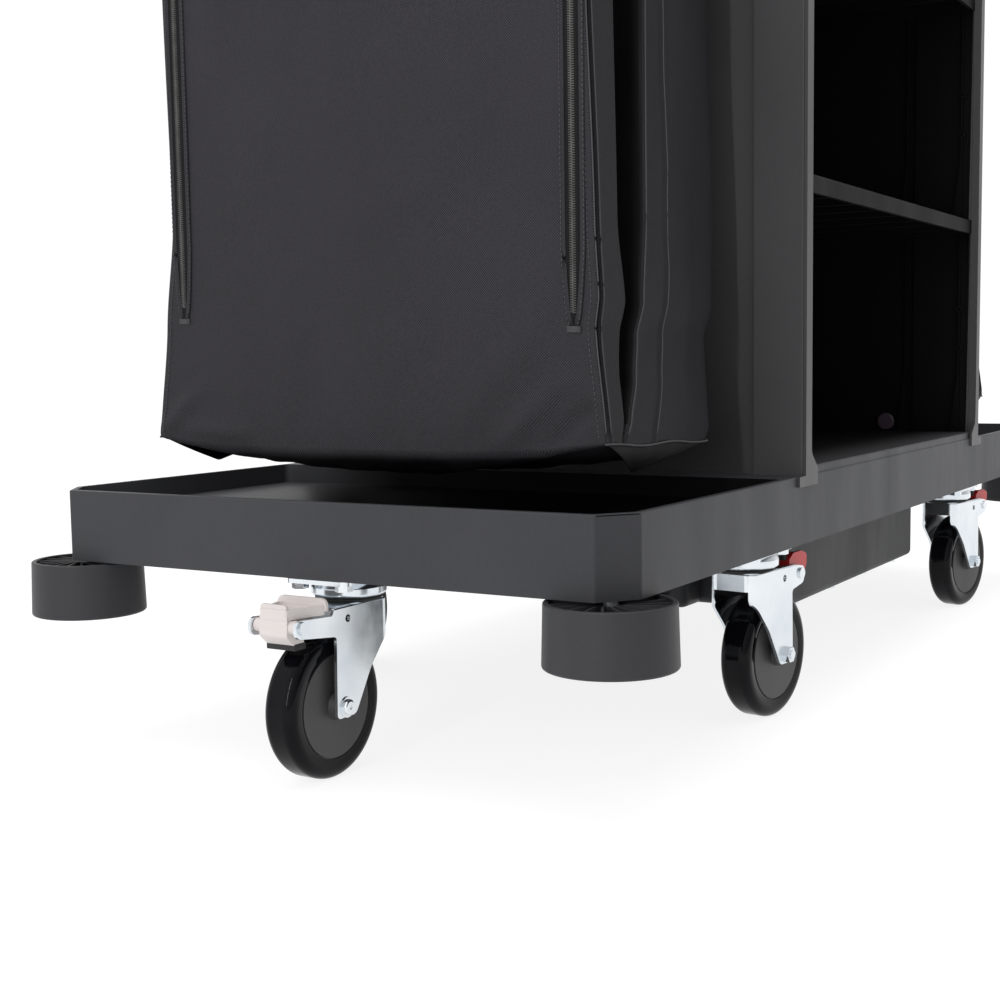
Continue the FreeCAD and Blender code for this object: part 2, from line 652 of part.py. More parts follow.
def fork(pivot, arm):
    """Pressed steel fork: crown, skirt round its back, two legs with arms for the pedal."""
    back = -26.0
    front = 53.0
    round_back = 11.0
    reach = arm[0][0] + 9
    crown_plan = [(back, -LEG_OUTSIDE, round_back), (front, -LEG_OUTSIDE), (front, LEG_OUTSIDE),
                  (back, LEG_OUTSIDE, round_back)]
    inner_plan = [(back + LEG_THICK, -LEG_INSIDE, round_back - LEG_THICK), (reach, -LEG_INSIDE),
                  (reach, LEG_INSIDE), (back + LEG_THICK, LEG_INSIDE, round_back - LEG_THICK)]
    trim_plan = [(back, -LEG_OUTSIDE, round_back), (reach, -LEG_OUTSIDE), (reach, LEG_OUTSIDE),
                 (back, LEG_OUTSIDE, round_back)]
    skirt_z = 133.0
    crown = plan_prism(crown_plan, skirt_z, CROWN_TOP)
    leg_outline = [(back, CROWN_TOP), (back, 124, 16), (4, 92, 60), (27, 55, 8), (front, 55, 4),
                   (front - 1.5, 126, 4), *arm, (front, CROWN_TOP)]
    slab = side_prism(leg_outline, -LEG_OUTSIDE, LEG_OUTSIDE)
    body = crown.fuse(slab.common(plan_prism(trim_plan, 40, 160))).removeSplitter()
    body = soften(body, 2.5, lambda e: all_at_height(e, CROWN_TOP) and e.BoundBox.XMax < front + 0.1
                  and e.Length > 6)
    body = body.cut(plan_prism(inner_plan, 30, CROWN_Z))
    body = body.cut(box(back - 1, -LEG_INSIDE + 4, 30, back + 12, LEG_INSIDE - 4, skirt_z))
    body = body.cut(box(front, -LEG_INSIDE, 30, reach, LEG_INSIDE, 160))
    body = body.fuse(upright(22.0, 0, 0, CROWN_TOP - 1, CROWN_TOP + 1.5))
    wide = LEG_OUTSIDE + 5
    cuts = [upright(KINGPIN_RADIUS + RUNNING_GAP, 0, 0, 130, 160)]
    cuts.append(cylinder(AXLE_RADIUS, V(TRAIL, -wide, WHEEL_RADIUS), V(TRAIL, wide, WHEEL_RADIUS)))
    cuts.append(cylinder(PEDAL_PIN_RADIUS, V(pivot, -wide, PEDAL_PIVOT_Z), V(pivot, wide, PEDAL_PIVOT_Z)))
    cuts.append(cylinder(3.4, V(35.6, -wide, 139.4), V(35.6, wide, 139.4)))
    return body.cut(cuts[0].multiFuse(cuts[1:])).removeSplitter()


def fork_pins(pivot):
    """Axle bolt with a flanged dome head on one side and a nut on the other, and the pedal rivet."""
    z = WHEEL_RADIUS
    shaft = cylinder(AXLE_RADIUS, V(TRAIL, -LEG_OUTSIDE - 2, z), V(TRAIL, LEG_OUTSIDE + 2, z))
    nut = hexagon_across_y(14.0, TRAIL, z, -LEG_OUTSIDE - 5.5, -LEG_OUTSIDE)
    tip = cylinder(4.5, V(TRAIL, -LEG_OUTSIDE - 7, z), V(TRAIL, -LEG_OUTSIDE - 5, z))
    flange = cylinder(9.0, V(TRAIL, LEG_OUTSIDE, z), V(TRAIL, LEG_OUTSIDE + 1.2, z))
    dome = cylinder(6.8, V(TRAIL, LEG_OUTSIDE + 1, z), V(TRAIL, LEG_OUTSIDE + 4.5, z))
    dome = soften(dome, 2.4, lambda e: e.Closed and e.BoundBox.YMin > LEG_OUTSIDE + 4.4)
    dimple = cylinder(1.8, V(TRAIL, LEG_OUTSIDE + 3.5, z), V(TRAIL, LEG_OUTSIDE + 6, z))
    axle = fuse([nut, shaft, dome, flange, tip]).cut(dimple)
    rivet = [cylinder(PEDAL_PIN_RADIUS, V(pivot, -LEG_OUTSIDE - 1, PEDAL_PIVOT_Z),
                      V(pivot, LEG_OUTSIDE + 1, PEDAL_PIVOT_Z))]
    for sign in (-1, 1):
        rivet.append(cylinder(5.6, V(pivot, sign * LEG_OUTSIDE, PEDAL_PIVOT_Z),
                              V(pivot, sign * (LEG_OUTSIDE + 2), PEDAL_PIVOT_Z)))
    return [axle, fuse(rivet)]


def tyre():
    half = WHEEL_HALF_WIDTH
    outline = [(HUB_RADIUS, -half + 1.2), (HUB_RADIUS + 3, -half + 0.6, 2), (HUB_RADIUS + 7, -half, 2),
               (WHEEL_RADIUS, -half, 8.5), (WHEEL_RADIUS, half, 8.5), (HUB_RADIUS + 7, half, 2),
               (HUB_RADIUS + 3, half - 0.6, 2), (HUB_RADIUS, half - 1.2)]
    return turned(outline, V(TRAIL, 0, WHEEL_RADIUS), "y")


def hub():
    """Wheel core with flat covers, a groove at their edge and a long centre boss."""
    face = WHEEL_HALF_WIDTH - 0.6
    groove = 1.1
    boss = LEG_INSIDE - 0.6
    bore = AXLE_RADIUS + RUNNING_GAP
    outline = [(bore, -boss), (11.0, -boss, 1.5), (12.5, -face), (HUB_RADIUS - groove, -face, 0.4),
               (HUB_RADIUS - groove, -face + 1.8), (HUB_RADIUS, -face + 1.8), (HUB_RADIUS, face - 1.8),
               (HUB_RADIUS - groove, face - 1.8), (HUB_RADIUS - groove, face, 0.4), (12.5, face),
               (11.0, boss, 1.5), (bore, boss)]
    return turned(outline, V(TRAIL, 0, WHEEL_RADIUS), "y")


def pedal_hinge(body, pivot):
    """Add the tube that carries a pedal on its rivet."""
    wide = LEG_INSIDE - 0.4
    tube = cylinder(5.8, V(pivot, -wide, PEDAL_PIVOT_Z), V(pivot, wide, PEDAL_PIVOT_Z))
    bore = cylinder(PEDAL_PIN_RADIUS + RUNNING_GAP, V(pivot, -30, PEDAL_PIVOT_Z), V(pivot, 30, PEDAL_PIVOT_Z))
    return fuse([body, tube]).cut(bore)


def end_pedal():
    """Long brake pedal: front block between the arms, a top that flares to a cross flange, brake shoe."""
    half = 14.5
    block = side_prism([(82, 127, 2), (82, 150), (102.5, 150), (103.5, 133, 3), (94, 124.5, 3), (86, 124.5, 2)],
                       -half, half)
    top = plan_prism([(63.5, -25, 3), (103, 0.5 - half, 2), (103, half - 0.5, 2), (63.5, 25, 3)], 147.0, 155.5)
    dish = plan_prism([(66.5, -22, 4), (99, 4 - half, 3), (99, half - 4, 3), (66.5, 22, 4)], 152.5, 157.0)
    front_lip = end_prism([(1 - half, 154), (1 - half, 159.5, 2), (half - 1, 159.5, 2), (half - 1, 154)], 99.5, 102.2)
    flange = end_prism([(-26, 150), (-26, 160.5, 6), (26, 160.5, 6), (26, 150)], 62.5, 65.5)
    shoe = side_prism([(66, 129.5, 1), (66, 149), (84, 149), (84, 129.5, 2)], -12.0, 12.0)
    toe = side_prism([(80, 121.0, 1), (82, 128), (94, 126), (94, 121.5, 1)], -half, half)
    body = fuse([block, top, front_lip, flange, shoe, toe]).cut(dish)
    return pedal_hinge(body, END_PIVOT)


def side_pedal():
    """Short brake pedal: a scoop between two side plates, with a slanted nose under it."""
    half = 19.0
    plate = 3.5
    body = side_prism([(58, 133, 2), (58, 155, 2), (66, 160.5, 8), (84, 161, 8), (95, 157, 4), (95, 148, 3),
                       (90, 138, 5), (78, 126, 4), (68, 125, 4)], -half, half)
    scoop = side_prism([(70, 152, 4), (73, 163), (97, 163), (97, 151)], -half + plate, half - plate)
    body = body.cut(scoop)
    tread = side_prism([(53, 154.5, 1), (53, 157, 1), (60, 158), (60, 153)], -13.0, 13.0)
    return pedal_hinge(fuse([body, tread]), SIDE_PIVOT)


# ---------------------------------------------------------------- bumpers

def roller():
    """Corner bumper: tapered drum, open at the top, with curved spokes round its hub."""
    wall = 4.5
    base = V(0, 0, 0)
    inside = ROLLER_RADIUS - wall
    outline = [(20.0, ROLLER_BOTTOM + 8), (inside, ROLLER_BOTTOM + 4), (inside - 0.6, ROLLER_BOTTOM),
               (ROLLER_RADIUS, ROLLER_BOTTOM, 2.5), (ROLLER_TOP_RADIUS, ROLLER_TOP, 1.5),
               (ROLLER_TOP_RADIUS - wall, ROLLER_TOP, 1), (inside - 1.0, ROLLER_BOTTOM + 14),
               (20.0, ROLLER_BOTTOM + 14)]
    shell = turned(outline, base, "z")
    hub_bore = ROLLER_PIN_RADIUS + RUNNING_GAP
    core = turned([(hub_bore, ROLLER_BOTTOM + 9.4), (21.0, ROLLER_BOTTOM + 9.4), (21.0, ROLLER_BOTTOM + 14),
                   (13.0, ROLLER_BOTTOM + 14), (13.0, ROLLER_TOP - 2), (hub_bore, ROLLER_TOP - 2)], base, "z")
    spokes = []
    count = 18
    reach = ROLLER_TOP_RADIUS - wall + 1.5
    thickness = 1.8
    root = V(12.0, 0, 0)
    bow = V(32.0, 9.0, 0)
    tip = V(reach, 20.0, 0)
    shift = V(0, thickness, 0)
    edges = [Part.Arc(root, bow, tip), Part.LineSegment(tip, tip + shift),
             Part.Arc(tip + shift, bow + shift, root + shift), Part.LineSegment(root + shift, root)]
    wire = Part.Wire([edge.toShape() for edge in edges])
    for i in range(count):
        blade = Part.Face(wire).extrude(V(0, 0, ROLLER_TOP - ROLLER_BOTTOM - 13.5))
        spokes.append(moved(moved(blade, z=ROLLER_BOTTOM + 12), turn=360.0 * i / count))
    keep = upright(ROLLER_TOP_RADIUS - 1.5, 0, 0, ROLLER_BOTTOM, ROLLER_TOP)
    fan = spokes[0].multiFuse(spokes[1:]).common(keep)
    body = shell.multiFuse([core, fan])
    return body.cut(upright(hub_bore, 0, 0, 100, 200)).removeSplitter()


def roller_bolt():
    head = hexagon(19.0, 0, 0, ROLLER_BOTTOM + 1, ROLLER_BOTTOM + 9)
    return head.fuse(upright(ROLLER_PIN_RADIUS, 0, 0, ROLLER_BOTTOM + 8, TRAY_FLOOR + 4)).removeSplitter()


def main():
    os.makedirs("parts", exist_ok=True)
    export("base_deck", base_deck())
    export("underbody_tub", underbody_tub())
    export("tub_screws", tub_screws())
    export("end_wall_left", end_wall(-1))
    export("end_wall_right", end_wall(1))
    export("wall_edge_strips", edge_strips())
    export("foot_caps", foot_caps())
    export("back_panel", back_panel())
    export("mid_shelf", shelf(MID_SHELF_Z))
    export("upper_shelf", shelf(UPPER_SHELF_Z))
    export("top_tray", top_tray())
    export("tube_sockets", tube_sockets())
    frame_root = WALL_OUTER - PANEL_RECESS
    export("bag_frames", [bent_tube(frame_root, FRAME_REACH, FRAME_Y, FRAME_Z, FRAME_RADIUS, side)
                          for side in (-1, 1)])
    export("push_handles", [bent_tube(WALL_OUTER, HANDLE_REACH, HANDLE_Y, HANDLE_Z, HANDLE_RADIUS, side)
                            for side in (-1, 1)])
    export("handle_grips", [handle_grip(side) for side in (-1, 1)])
    left_bag = bag()
    export("bag_left", left_bag)
    export("bag_right", moved(left_bag, turn=180.0))
    tapes = zip_tapes()
    export("zip_tapes", tapes + [moved(tape, turn=180.0) for tape in tapes])
    for number, (y, bottom) in enumerate(ZIP_LINES, 1):
        slider = zip_slider(y)
        export("zip_slider_left_%d" % number, slider)
        export("zip_slider_right_%d" % number, moved(slider, turn=180.0))
    fixed = {"caster_plates": [fuse([top_plate(), kingpin()])], "caster_gaskets": [gasket()],
             "caster_plate_bolts": plate_bolts()}
    for name, solids in fixed.items():
        group = [moved(solid, x, y) for caster, x, y, trail in CASTERS for solid in solids]
        export(name, group)
    wheel = {"tyre": [tyre()], "hub": [hub()]}
    end_set = {"fork": [fork(END_PIVOT, END_ARM)], "fork_pins": fork_pins(END_PIVOT), "pedal": [end_pedal()]}
    side_set = {"fork": [fork(SIDE_PIVOT, SIDE_ARM)], "fork_pins": fork_pins(SIDE_PIVOT),
                "pedal": [side_pedal()]}
    for caster, x, y, trail in CASTERS:
        carrier = end_set if caster.startswith("end") else side_set
        for name, solids in {**wheel, **carrier}.items():
            export(name + "_" + caster, [moved(solid, x, y, turn=trail) for solid in solids])
    drum = roller()
    places = {"front_left": (-1, -1), "rear_left": (-1, 1), "front_right": (1, -1), "rear_right": (1, 1)}
    for corner, (sx, sy) in places.items():
        export("roller_" + corner, moved(drum, sx * ROLLER_X, sy * ROLLER_Y))
    export("roller_bolts", [moved(roller_bolt(), sx * ROLLER_X, sy * ROLLER_Y) for sx, sy in places.values()])


main()
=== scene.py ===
import json
import math

import bpy
from mathutils import Matrix, Vector, noise


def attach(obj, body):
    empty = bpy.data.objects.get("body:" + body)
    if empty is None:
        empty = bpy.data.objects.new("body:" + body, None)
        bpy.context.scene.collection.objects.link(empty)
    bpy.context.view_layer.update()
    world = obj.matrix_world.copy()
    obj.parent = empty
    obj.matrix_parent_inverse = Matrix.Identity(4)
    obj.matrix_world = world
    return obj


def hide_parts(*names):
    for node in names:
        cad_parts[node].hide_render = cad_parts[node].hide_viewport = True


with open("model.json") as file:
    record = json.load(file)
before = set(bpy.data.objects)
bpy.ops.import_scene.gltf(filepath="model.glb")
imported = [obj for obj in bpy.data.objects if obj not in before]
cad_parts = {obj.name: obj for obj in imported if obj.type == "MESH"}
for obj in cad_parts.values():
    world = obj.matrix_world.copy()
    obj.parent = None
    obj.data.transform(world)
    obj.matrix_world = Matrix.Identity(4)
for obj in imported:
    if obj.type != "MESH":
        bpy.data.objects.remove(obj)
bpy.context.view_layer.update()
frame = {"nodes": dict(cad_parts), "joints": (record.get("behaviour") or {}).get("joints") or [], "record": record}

# Camera, measured from the middle of the cart on the floor, in metres and degrees
CAMERA_PLACE = Vector((-1.6821, -0.7753, 0.3580))
CAMERA_TURN = 31.299
CAMERA_DIP = 5.562
CAMERA_ROLL = -0.899
CAMERA_LENS = 52.605
SENSOR_WIDTH = 36.0

# Brightness of the white tent on the cabinet's open side and elsewhere, and of the floor's own glow
TENT_OPEN_SIDE = 0.42
TENT = 1.04
FLOOR_GLOW = 0.85
FLOOR_HALF = 60.0


# ---------------------------------------------------------------- camera, light and floor

def make_camera():
    turn, dip, roll = (math.radians(v) for v in (CAMERA_TURN, CAMERA_DIP, CAMERA_ROLL))
    ahead = Vector((math.cos(turn) * math.cos(dip), math.sin(turn) * math.cos(dip), -math.sin(dip)))
    level = ahead.cross(Vector((0, 0, 1))).normalized()
    upward = level.cross(ahead)
    right = level * math.cos(roll) + upward * math.sin(roll)
    up = upward * math.cos(roll) - level * math.sin(roll)
    data = bpy.data.cameras.new("camera")
    data.sensor_width = SENSOR_WIDTH
    data.lens = CAMERA_LENS
    data.clip_start = 0.05
    data.clip_end = 60.0
    camera = bpy.data.objects.new("camera", data)
    turned = Matrix((right, up, -ahead)).transposed().to_4x4()
    camera.matrix_world = Matrix.Translation(CAMERA_PLACE) @ turned
    bpy.context.collection.objects.link(camera)
    bpy.context.scene.camera = camera


def area_light(name, place, target, size, power, color=(1, 1, 1)):
    data = bpy.data.lights.new(name, "AREA")
    data.shape = "RECTANGLE"
    data.size, data.size_y = size
    data.energy = power
    data.color = color
    light = bpy.data.objects.new(name, data)
    light.location = place
    light.rotation_mode = "QUATERNION"
    light.rotation_quaternion = (Vector(target) - Vector(place)).to_track_quat("-Z", "Y")
    bpy.context.collection.objects.link(light)


def make_light():
    """White tent all round, darker on the cabinet's open side, with a top light and a strip light."""
    world = bpy.data.worlds.new("studio")
    world.use_nodes = True
    tree = world.node_tree
    tree.nodes["Background"].inputs["Color"].default_value = (1.0, 1.0, 1.0, 1.0)
    place = tree.nodes.new("ShaderNodeTexCoord")
    split = tree.nodes.new("ShaderNodeSeparateXYZ")
    fall = tree.nodes.new("ShaderNodeMapRange")
    tree.links.new(place.outputs["Generated"], split.inputs[0])
    tree.links.new(split.outputs["Y"], fall.inputs["Value"])
    fall.inputs["From Min"].default_value = -1.0
    fall.inputs["From Max"].default_value = -0.10
    fall.inputs["To Min"].default_value = TENT_OPEN_SIDE
    fall.inputs["To Max"].default_value = TENT
    tree.links.new(fall.outputs["Result"], tree.nodes["Background"].inputs["Strength"])
    bpy.context.scene.world = world
    area_light("top", (-0.4, 0.0, 4.5), (-0.4, 0.0, 0.0), (5.0, 4.0), 90)
    area_light("strip", (-3.6, -0.4, 1.5), (-0.7, -0.1, 0.1), (0.07, 2.2), 24)
    bpy.context.scene.view_settings.view_transform = "Standard"


# ---------------------------------------------------------------- materials

# Height below which the cloth of the bags' bellies is painted nearly black, as painted shade under the bags
BELLY_SHADE = 0.264


class Shader:
    """A principled material with short calls for the nodes that these finishes share."""

    def __init__(self, name, roughness=0.5, metallic=0.0, fixed=()):
        self.material = bpy.data.materials.new(name)
        self.material.use_nodes = True
        self.tree = self.material.node_tree
        self.shader = self.tree.nodes["Principled BSDF"]
        self.shader.inputs["Roughness"].default_value = roughness
        self.shader.inputs["Metallic"].default_value = metallic
        for socket, value in fixed:
            self.shader.inputs[socket].default_value = value
        self.place = self.node("ShaderNodeTexCoord").outputs["Object"]

    def node(self, kind, **settings):
        node = self.tree.nodes.new(kind)
        for key, value in settings.items():
            setattr(node, key, value)
        return node

    def link(self, source, target):
        self.tree.links.new(source, target)

    def noise(self, scale, detail=3.0, roughness=0.5, stretch=None):
        texture = self.node("ShaderNodeTexNoise")
        texture.inputs["Scale"].default_value = scale
        texture.inputs["Detail"].default_value = detail
        texture.inputs["Roughness"].default_value = roughness
        place = self.place
        if stretch:
            mapping = self.node("ShaderNodeMapping")
            mapping.inputs["Scale"].default_value = stretch
            self.link(place, mapping.inputs["Vector"])
            place = mapping.outputs["Vector"]
        self.link(place, texture.inputs["Vector"])
        return texture.outputs["Fac"]

    def math(self, operation, first, second=None, third=None):
        node = self.node("ShaderNodeMath", operation=operation)
        for index, value in enumerate((first, second, third)):
            if value is None:
                continue
            if isinstance(value, (int, float)):
                node.inputs[index].default_value = value
            else:
                self.link(value, node.inputs[index])
        return node.outputs[0]

    def ramp(self, factor, low, high):
        """Maps a 0..1 value to the range low..high, held at its ends."""
        node = self.node("ShaderNodeMapRange")
        self.link(factor, node.inputs["Value"])
        node.inputs["From Min"].default_value = 0.3
        node.inputs["From Max"].default_value = 0.7
        node.inputs["To Min"].default_value = low
        node.inputs["To Max"].default_value = high
        return node.outputs["Result"]

    def colors(self, factor, stops):
        node = self.node("ShaderNodeValToRGB")
        elements = node.color_ramp.elements
        for index, (position, color) in enumerate(stops):
            element = elements[index] if index < 2 else elements.new(position)
            element.position = position
            element.color = (*color, 1.0)
        self.link(factor, node.inputs["Fac"])
        return node.outputs["Color"]

    def base(self, color):
        self.link(color, self.shader.inputs["Base Color"])

    def rough(self, value):
        self.link(value, self.shader.inputs["Roughness"])

    def bump(self, height, strength, distance):
        node = self.node("ShaderNodeBump")
        node.inputs["Strength"].default_value = strength
        node.inputs["Distance"].default_value = distance
        self.link(height, node.inputs["Height"])
        self.link(node.outputs["Normal"], self.shader.inputs["Normal"])


def shades(color, spread):
    """A darker and a lighter version of a colour."""
    return [tuple(c * (1 - spread) for c in color), tuple(c * (1 + spread) for c in color)]


def moulded_plastic(name, color, roughness, grain=1400.0, depth=0.12, spread=0.10, gloss=0.5):
    """Moulded plastic: spark-eroded grain, faint flow clouds and faint wipe marks in the gloss."""
    s = Shader(name, roughness, fixed=[("Specular IOR Level", gloss)])
    low, high = shades(color, spread)
    cloud = s.noise(5.0, 4.0, 0.55)
    speck = s.noise(260.0, 2.0)
    mixed = s.math("ADD", s.math("MULTIPLY", cloud, 0.7), s.math("MULTIPLY", speck, 0.3))
    s.base(s.colors(mixed, [(0.35, low), (0.65, high)]))
    wipe = s.noise(14.0, 5.0, 0.6, (1.0, 1.0, 0.25))
    s.rough(s.ramp(wipe, roughness - 0.05, roughness + 0.06))
    grain_height = s.math("ADD", s.noise(grain, 1.0), s.math("MULTIPLY", s.noise(grain * 0.3, 1.0), 0.4))
    s.bump(grain_height, depth, 0.0004)
    return s.material


def painted_shade_bay_floor(name):
    """Cabinet floor: the deck's plastic at its front edge, painted nearly black further in as painted shade inside
    the cabinet.
    """
    s = Shader(name, 0.5, fixed=[("Specular IOR Level", 0.25)])
    split = s.node("ShaderNodeSeparateXYZ")
    s.link(s.place, split.inputs[0])
    # Painted shade: darker the further the floor runs into the cabinet
    depth = s.node("ShaderNodeMapRange")
    s.link(split.outputs["Y"], depth.inputs["Value"])
    depth.inputs["From Min"].default_value = -0.290
    depth.inputs["From Max"].default_value = -0.215
    cloud = s.math("MULTIPLY", s.noise(9.0, 4.0, 0.55), 0.2)
    share = s.math("ADD", depth.outputs["Result"], cloud)
    s.base(s.colors(share, [(0.1, (0.046, 0.046, 0.050)), (1.0, (0.0025, 0.0025, 0.003))]))
    s.bump(s.noise(1400.0, 1.0), 0.12, 0.0004)
    return s.material


def tray_floor_painted_light(name):
    """Tray floor: painted pale by its open far side as a painted reflection, and painted nearly black under the
    middle of the bag as painted shade.
    """
    s = Shader(name, 0.42, fixed=[("Specular IOR Level", 0.10)])
    split = s.node("ShaderNodeSeparateXYZ")
    s.link(s.place, split.inputs[0])
    # Mask of the painted reflection, pale towards the far side, and of the painted shade under the bag
    side = s.node("ShaderNodeMapRange")
    s.link(s.math("MULTIPLY", split.outputs["X"], split.outputs["Y"]), side.inputs["Value"])
    side.inputs["From Min"].default_value = -0.050
    side.inputs["From Max"].default_value = -0.115
    share = s.math("ADD", side.outputs["Result"], s.math("MULTIPLY", s.noise(12.0, 4.0, 0.55), 0.15))
    s.base(s.colors(share, [(0.1, (0.0015, 0.0015, 0.0017)), (1.0, (0.075, 0.076, 0.082))]))
    s.bump(s.noise(900.0, 1.0), 0.08, 0.0004)
    return s.material


def zinc_plate(name):
    """Bright zinc plating: bluish, with faint clouds in its colour and gloss."""
    s = Shader(name, 0.2, 1.0)
    cloud = s.noise(24.0, 3.0, 0.5)
    s.base(s.colors(cloud, [(0.3, (0.68, 0.73, 0.775)), (0.7, (0.79, 0.825, 0.855))]))
    s.rough(s.ramp(s.noise(38.0, 3.0, 0.55), 0.15, 0.23))
    s.bump(s.noise(160.0, 2.0), 0.03, 0.0003)
    return s.material


def glossy_tyre(name):
    s = Shader(name, 0.2, fixed=[("Specular IOR Level", 0.12)])
    cloud = s.noise(26.0, 4.0)
    s.base(s.colors(cloud, [(0.35, (0.002, 0.002, 0.003)), (0.7, (0.006, 0.006, 0.008))]))
    s.rough(s.ramp(s.noise(60.0, 5.0, 0.65), 0.04, 0.09))
    s.bump(s.noise(500.0, 2.0), 0.02, 0.0002)
    return s.material


def rubber(name):
    s = Shader(name, 0.7)
    s.base(s.colors(s.noise(50.0, 4.0), [(0.35, (0.010, 0.010, 0.010)), (0.7, (0.022, 0.022, 0.022))]))
    s.bump(s.noise(1600.0, 2.0), 0.25, 0.0004)
    return s.material


def powder_coat(name):
    s = Shader(name, 0.38)
    s.base(s.colors(s.noise(30.0, 4.0), [(0.35, (0.020, 0.020, 0.022)), (0.7, (0.034, 0.034, 0.036))]))
    s.bump(s.noise(900.0, 2.0, 0.6), 0.22, 0.0005)
    return s.material


def woven_nylon(name, pitch, dark, light, depth, shaded_below=-1.0, share_y=1.0):
    """Woven nylon, whose texture runs at 45 degrees on upright panels.

    A share_y of 1 suits panels that face any way, and 0 suits panels that run along X.

    Cloth lower than shaded_below is painted nearly black, as painted shade.
    """
    s = Shader(name, 0.6, fixed=[("Specular IOR Level", 0.16)])
    split = s.node("ShaderNodeSeparateXYZ")
    s.link(s.place, split.inputs[0])
    along = s.math("MULTIPLY_ADD", split.outputs["Y"], share_y, split.outputs["X"])
    rate = 2 * math.pi / pitch
    one = s.math("MULTIPLY", along, rate)
    other = s.math("MULTIPLY", split.outputs["Z"], rate)
    weave = s.math("MULTIPLY", s.math("SINE", one), s.math("SINE", other))
    weave = s.math("ADD", s.math("MULTIPLY", weave, 0.5), 0.5)
    slub = s.noise(420.0, 3.0, 0.6)
    cloud = s.noise(9.0, 4.0, 0.55)
    tone = s.math("ADD", s.math("MULTIPLY", weave, 0.50), s.math("MULTIPLY", slub, 0.30))
    tone = s.math("ADD", tone, s.math("MULTIPLY", cloud, 0.20))
    # Painted shade: the cloth fades to black below shaded_below
    lit = s.node("ShaderNodeMapRange")
    s.link(split.outputs["Z"], lit.inputs["Value"])
    lit.inputs["From Min"].default_value = shaded_below
    lit.inputs["From Max"].default_value = shaded_below + 0.012
    tone = s.math("MULTIPLY", tone, lit.outputs["Result"])
    s.base(s.colors(tone, [(0.30, dark), (0.70, light)]))
    s.rough(s.ramp(cloud, 0.50, 0.64))
    s.bump(s.math("ADD", weave, s.math("MULTIPLY", slub, 0.5)), depth, 0.0005)
    return s.material


def dark_coil(name):
    s = Shader(name, 0.33)
    s.base(s.colors(s.noise(80.0, 3.0), [(0.35, (0.060, 0.059, 0.056)), (0.7, (0.110, 0.108, 0.103))]))
    s.bump(s.noise(1200.0, 2.0), 0.10, 0.0002)
    return s.material


def pale_floor(name):
    s = Shader(name, 1.0, fixed=[("Specular IOR Level", 0.0)])
    s.base(s.colors(s.noise(1.5, 3.0), [(0.3, (0.21, 0.21, 0.21)), (0.7, (0.23, 0.23, 0.23))]))
    s.bump(s.noise(200.0, 2.0), 0.02, 0.0005)
    s.shader.inputs["Emission Color"].default_value = (1.0, 1.0, 1.0, 1.0)
    s.shader.inputs["Emission Strength"].default_value = FLOOR_GLOW
    return s.material


def make_materials():
    return {
        "deck_plastic": moulded_plastic("deck plastic", (0.0350, 0.0358, 0.0405), 0.48, gloss=0.28),
        "tray_plastic": tray_floor_painted_light("tray plastic with painted reflection and shade"),
        "tub_plastic": moulded_plastic("tub plastic", (0.0200, 0.0205, 0.0230), 0.50, gloss=0.24),
        "cabinet_plastic": moulded_plastic("cabinet plastic", (0.0460, 0.0462, 0.0485), 0.46, gloss=0.30),
        # Nearly black plastic for the shelves and the inside of the cabinet: painted shade
        "inner_plastic": moulded_plastic("inner cabinet plastic with painted shade", (0.0030, 0.0030, 0.0033), 0.60, gloss=0.10),
        "bay_floor_plastic": painted_shade_bay_floor("cabinet floor plastic with painted shade"),
        "trim_plastic": moulded_plastic("trim plastic", (0.034, 0.034, 0.036), 0.38),
        "cap_plastic": moulded_plastic("cap plastic", (0.060, 0.045, 0.063), 0.35),
        "black_plastic": moulded_plastic("black plastic", (0.010, 0.010, 0.011), 0.40),
        "roller_plastic": moulded_plastic("roller plastic", (0.030, 0.030, 0.033), 0.48, 900.0, 0.16,
                                          gloss=0.28),
        "hub_plastic": moulded_plastic("hub plastic", (0.038, 0.037, 0.038), 0.50, 1100.0, 0.12),
        "pedal_grey": moulded_plastic("grey pedal plastic", (0.62, 0.575, 0.56), 0.42, 1200.0, 0.08, 0.04),
        "pedal_red": moulded_plastic("red pedal plastic", (0.50, 0.020, 0.022), 0.35, 1200.0, 0.08, 0.10),
        "bag_fabric": woven_nylon("bag nylon", 0.0023, (0.0065, 0.0061, 0.0073), (0.042, 0.0395, 0.0465), 0.4,
                                  BELLY_SHADE),
        # The bag's nylon painted darker for the gussets: painted shade
        "gusset_shaded_fabric": woven_nylon("gusset nylon with painted shade", 0.0023, (0.0035, 0.0033, 0.0040), (0.027, 0.0255, 0.030),
                                     0.4, BELLY_SHADE, 0.0),
        # Near-black nylon for the faces deep inside the folds: painted shade
        "fold_shade_fabric": woven_nylon("nylon inside folds with painted shade", 0.0023, (0.001, 0.001, 0.0011),
                                   (0.003, 0.003, 0.0033), 0.10),
        "zip_tape": woven_nylon("zipper tape", 0.0012, (0.003, 0.003, 0.004), (0.010, 0.010, 0.011), 0.30),
        "thread": woven_nylon("pale thread", 0.0009, (0.045, 0.045, 0.048), (0.095, 0.095, 0.10), 0.20),
        "zip_teeth": dark_coil("zipper teeth"),
        "zip_metal": dark_coil("zipper slider"),
        "zinc_steel": zinc_plate("zinc plate"),
        "tyre_black": glossy_tyre("tyre"),
        "grip_rubber": rubber("rubber"),
        "black_tube": powder_coat("powder coat"),
        "floor": pale_floor("floor"),
    }


# ---------------------------------------------------------------- mesh helpers

def add_mesh(name, points, faces, material, smooth=True):
    mesh = bpy.data.meshes.new(name)
    mesh.from_pydata([tuple(p) for p in points], [], faces)
    mesh.validate()
    mesh.materials.append(material)
    mesh.polygons.foreach_set("use_smooth", [smooth] * len(mesh.polygons))
    piece = bpy.data.objects.new(name, mesh)
    bpy.context.collection.objects.link(piece)
    return piece


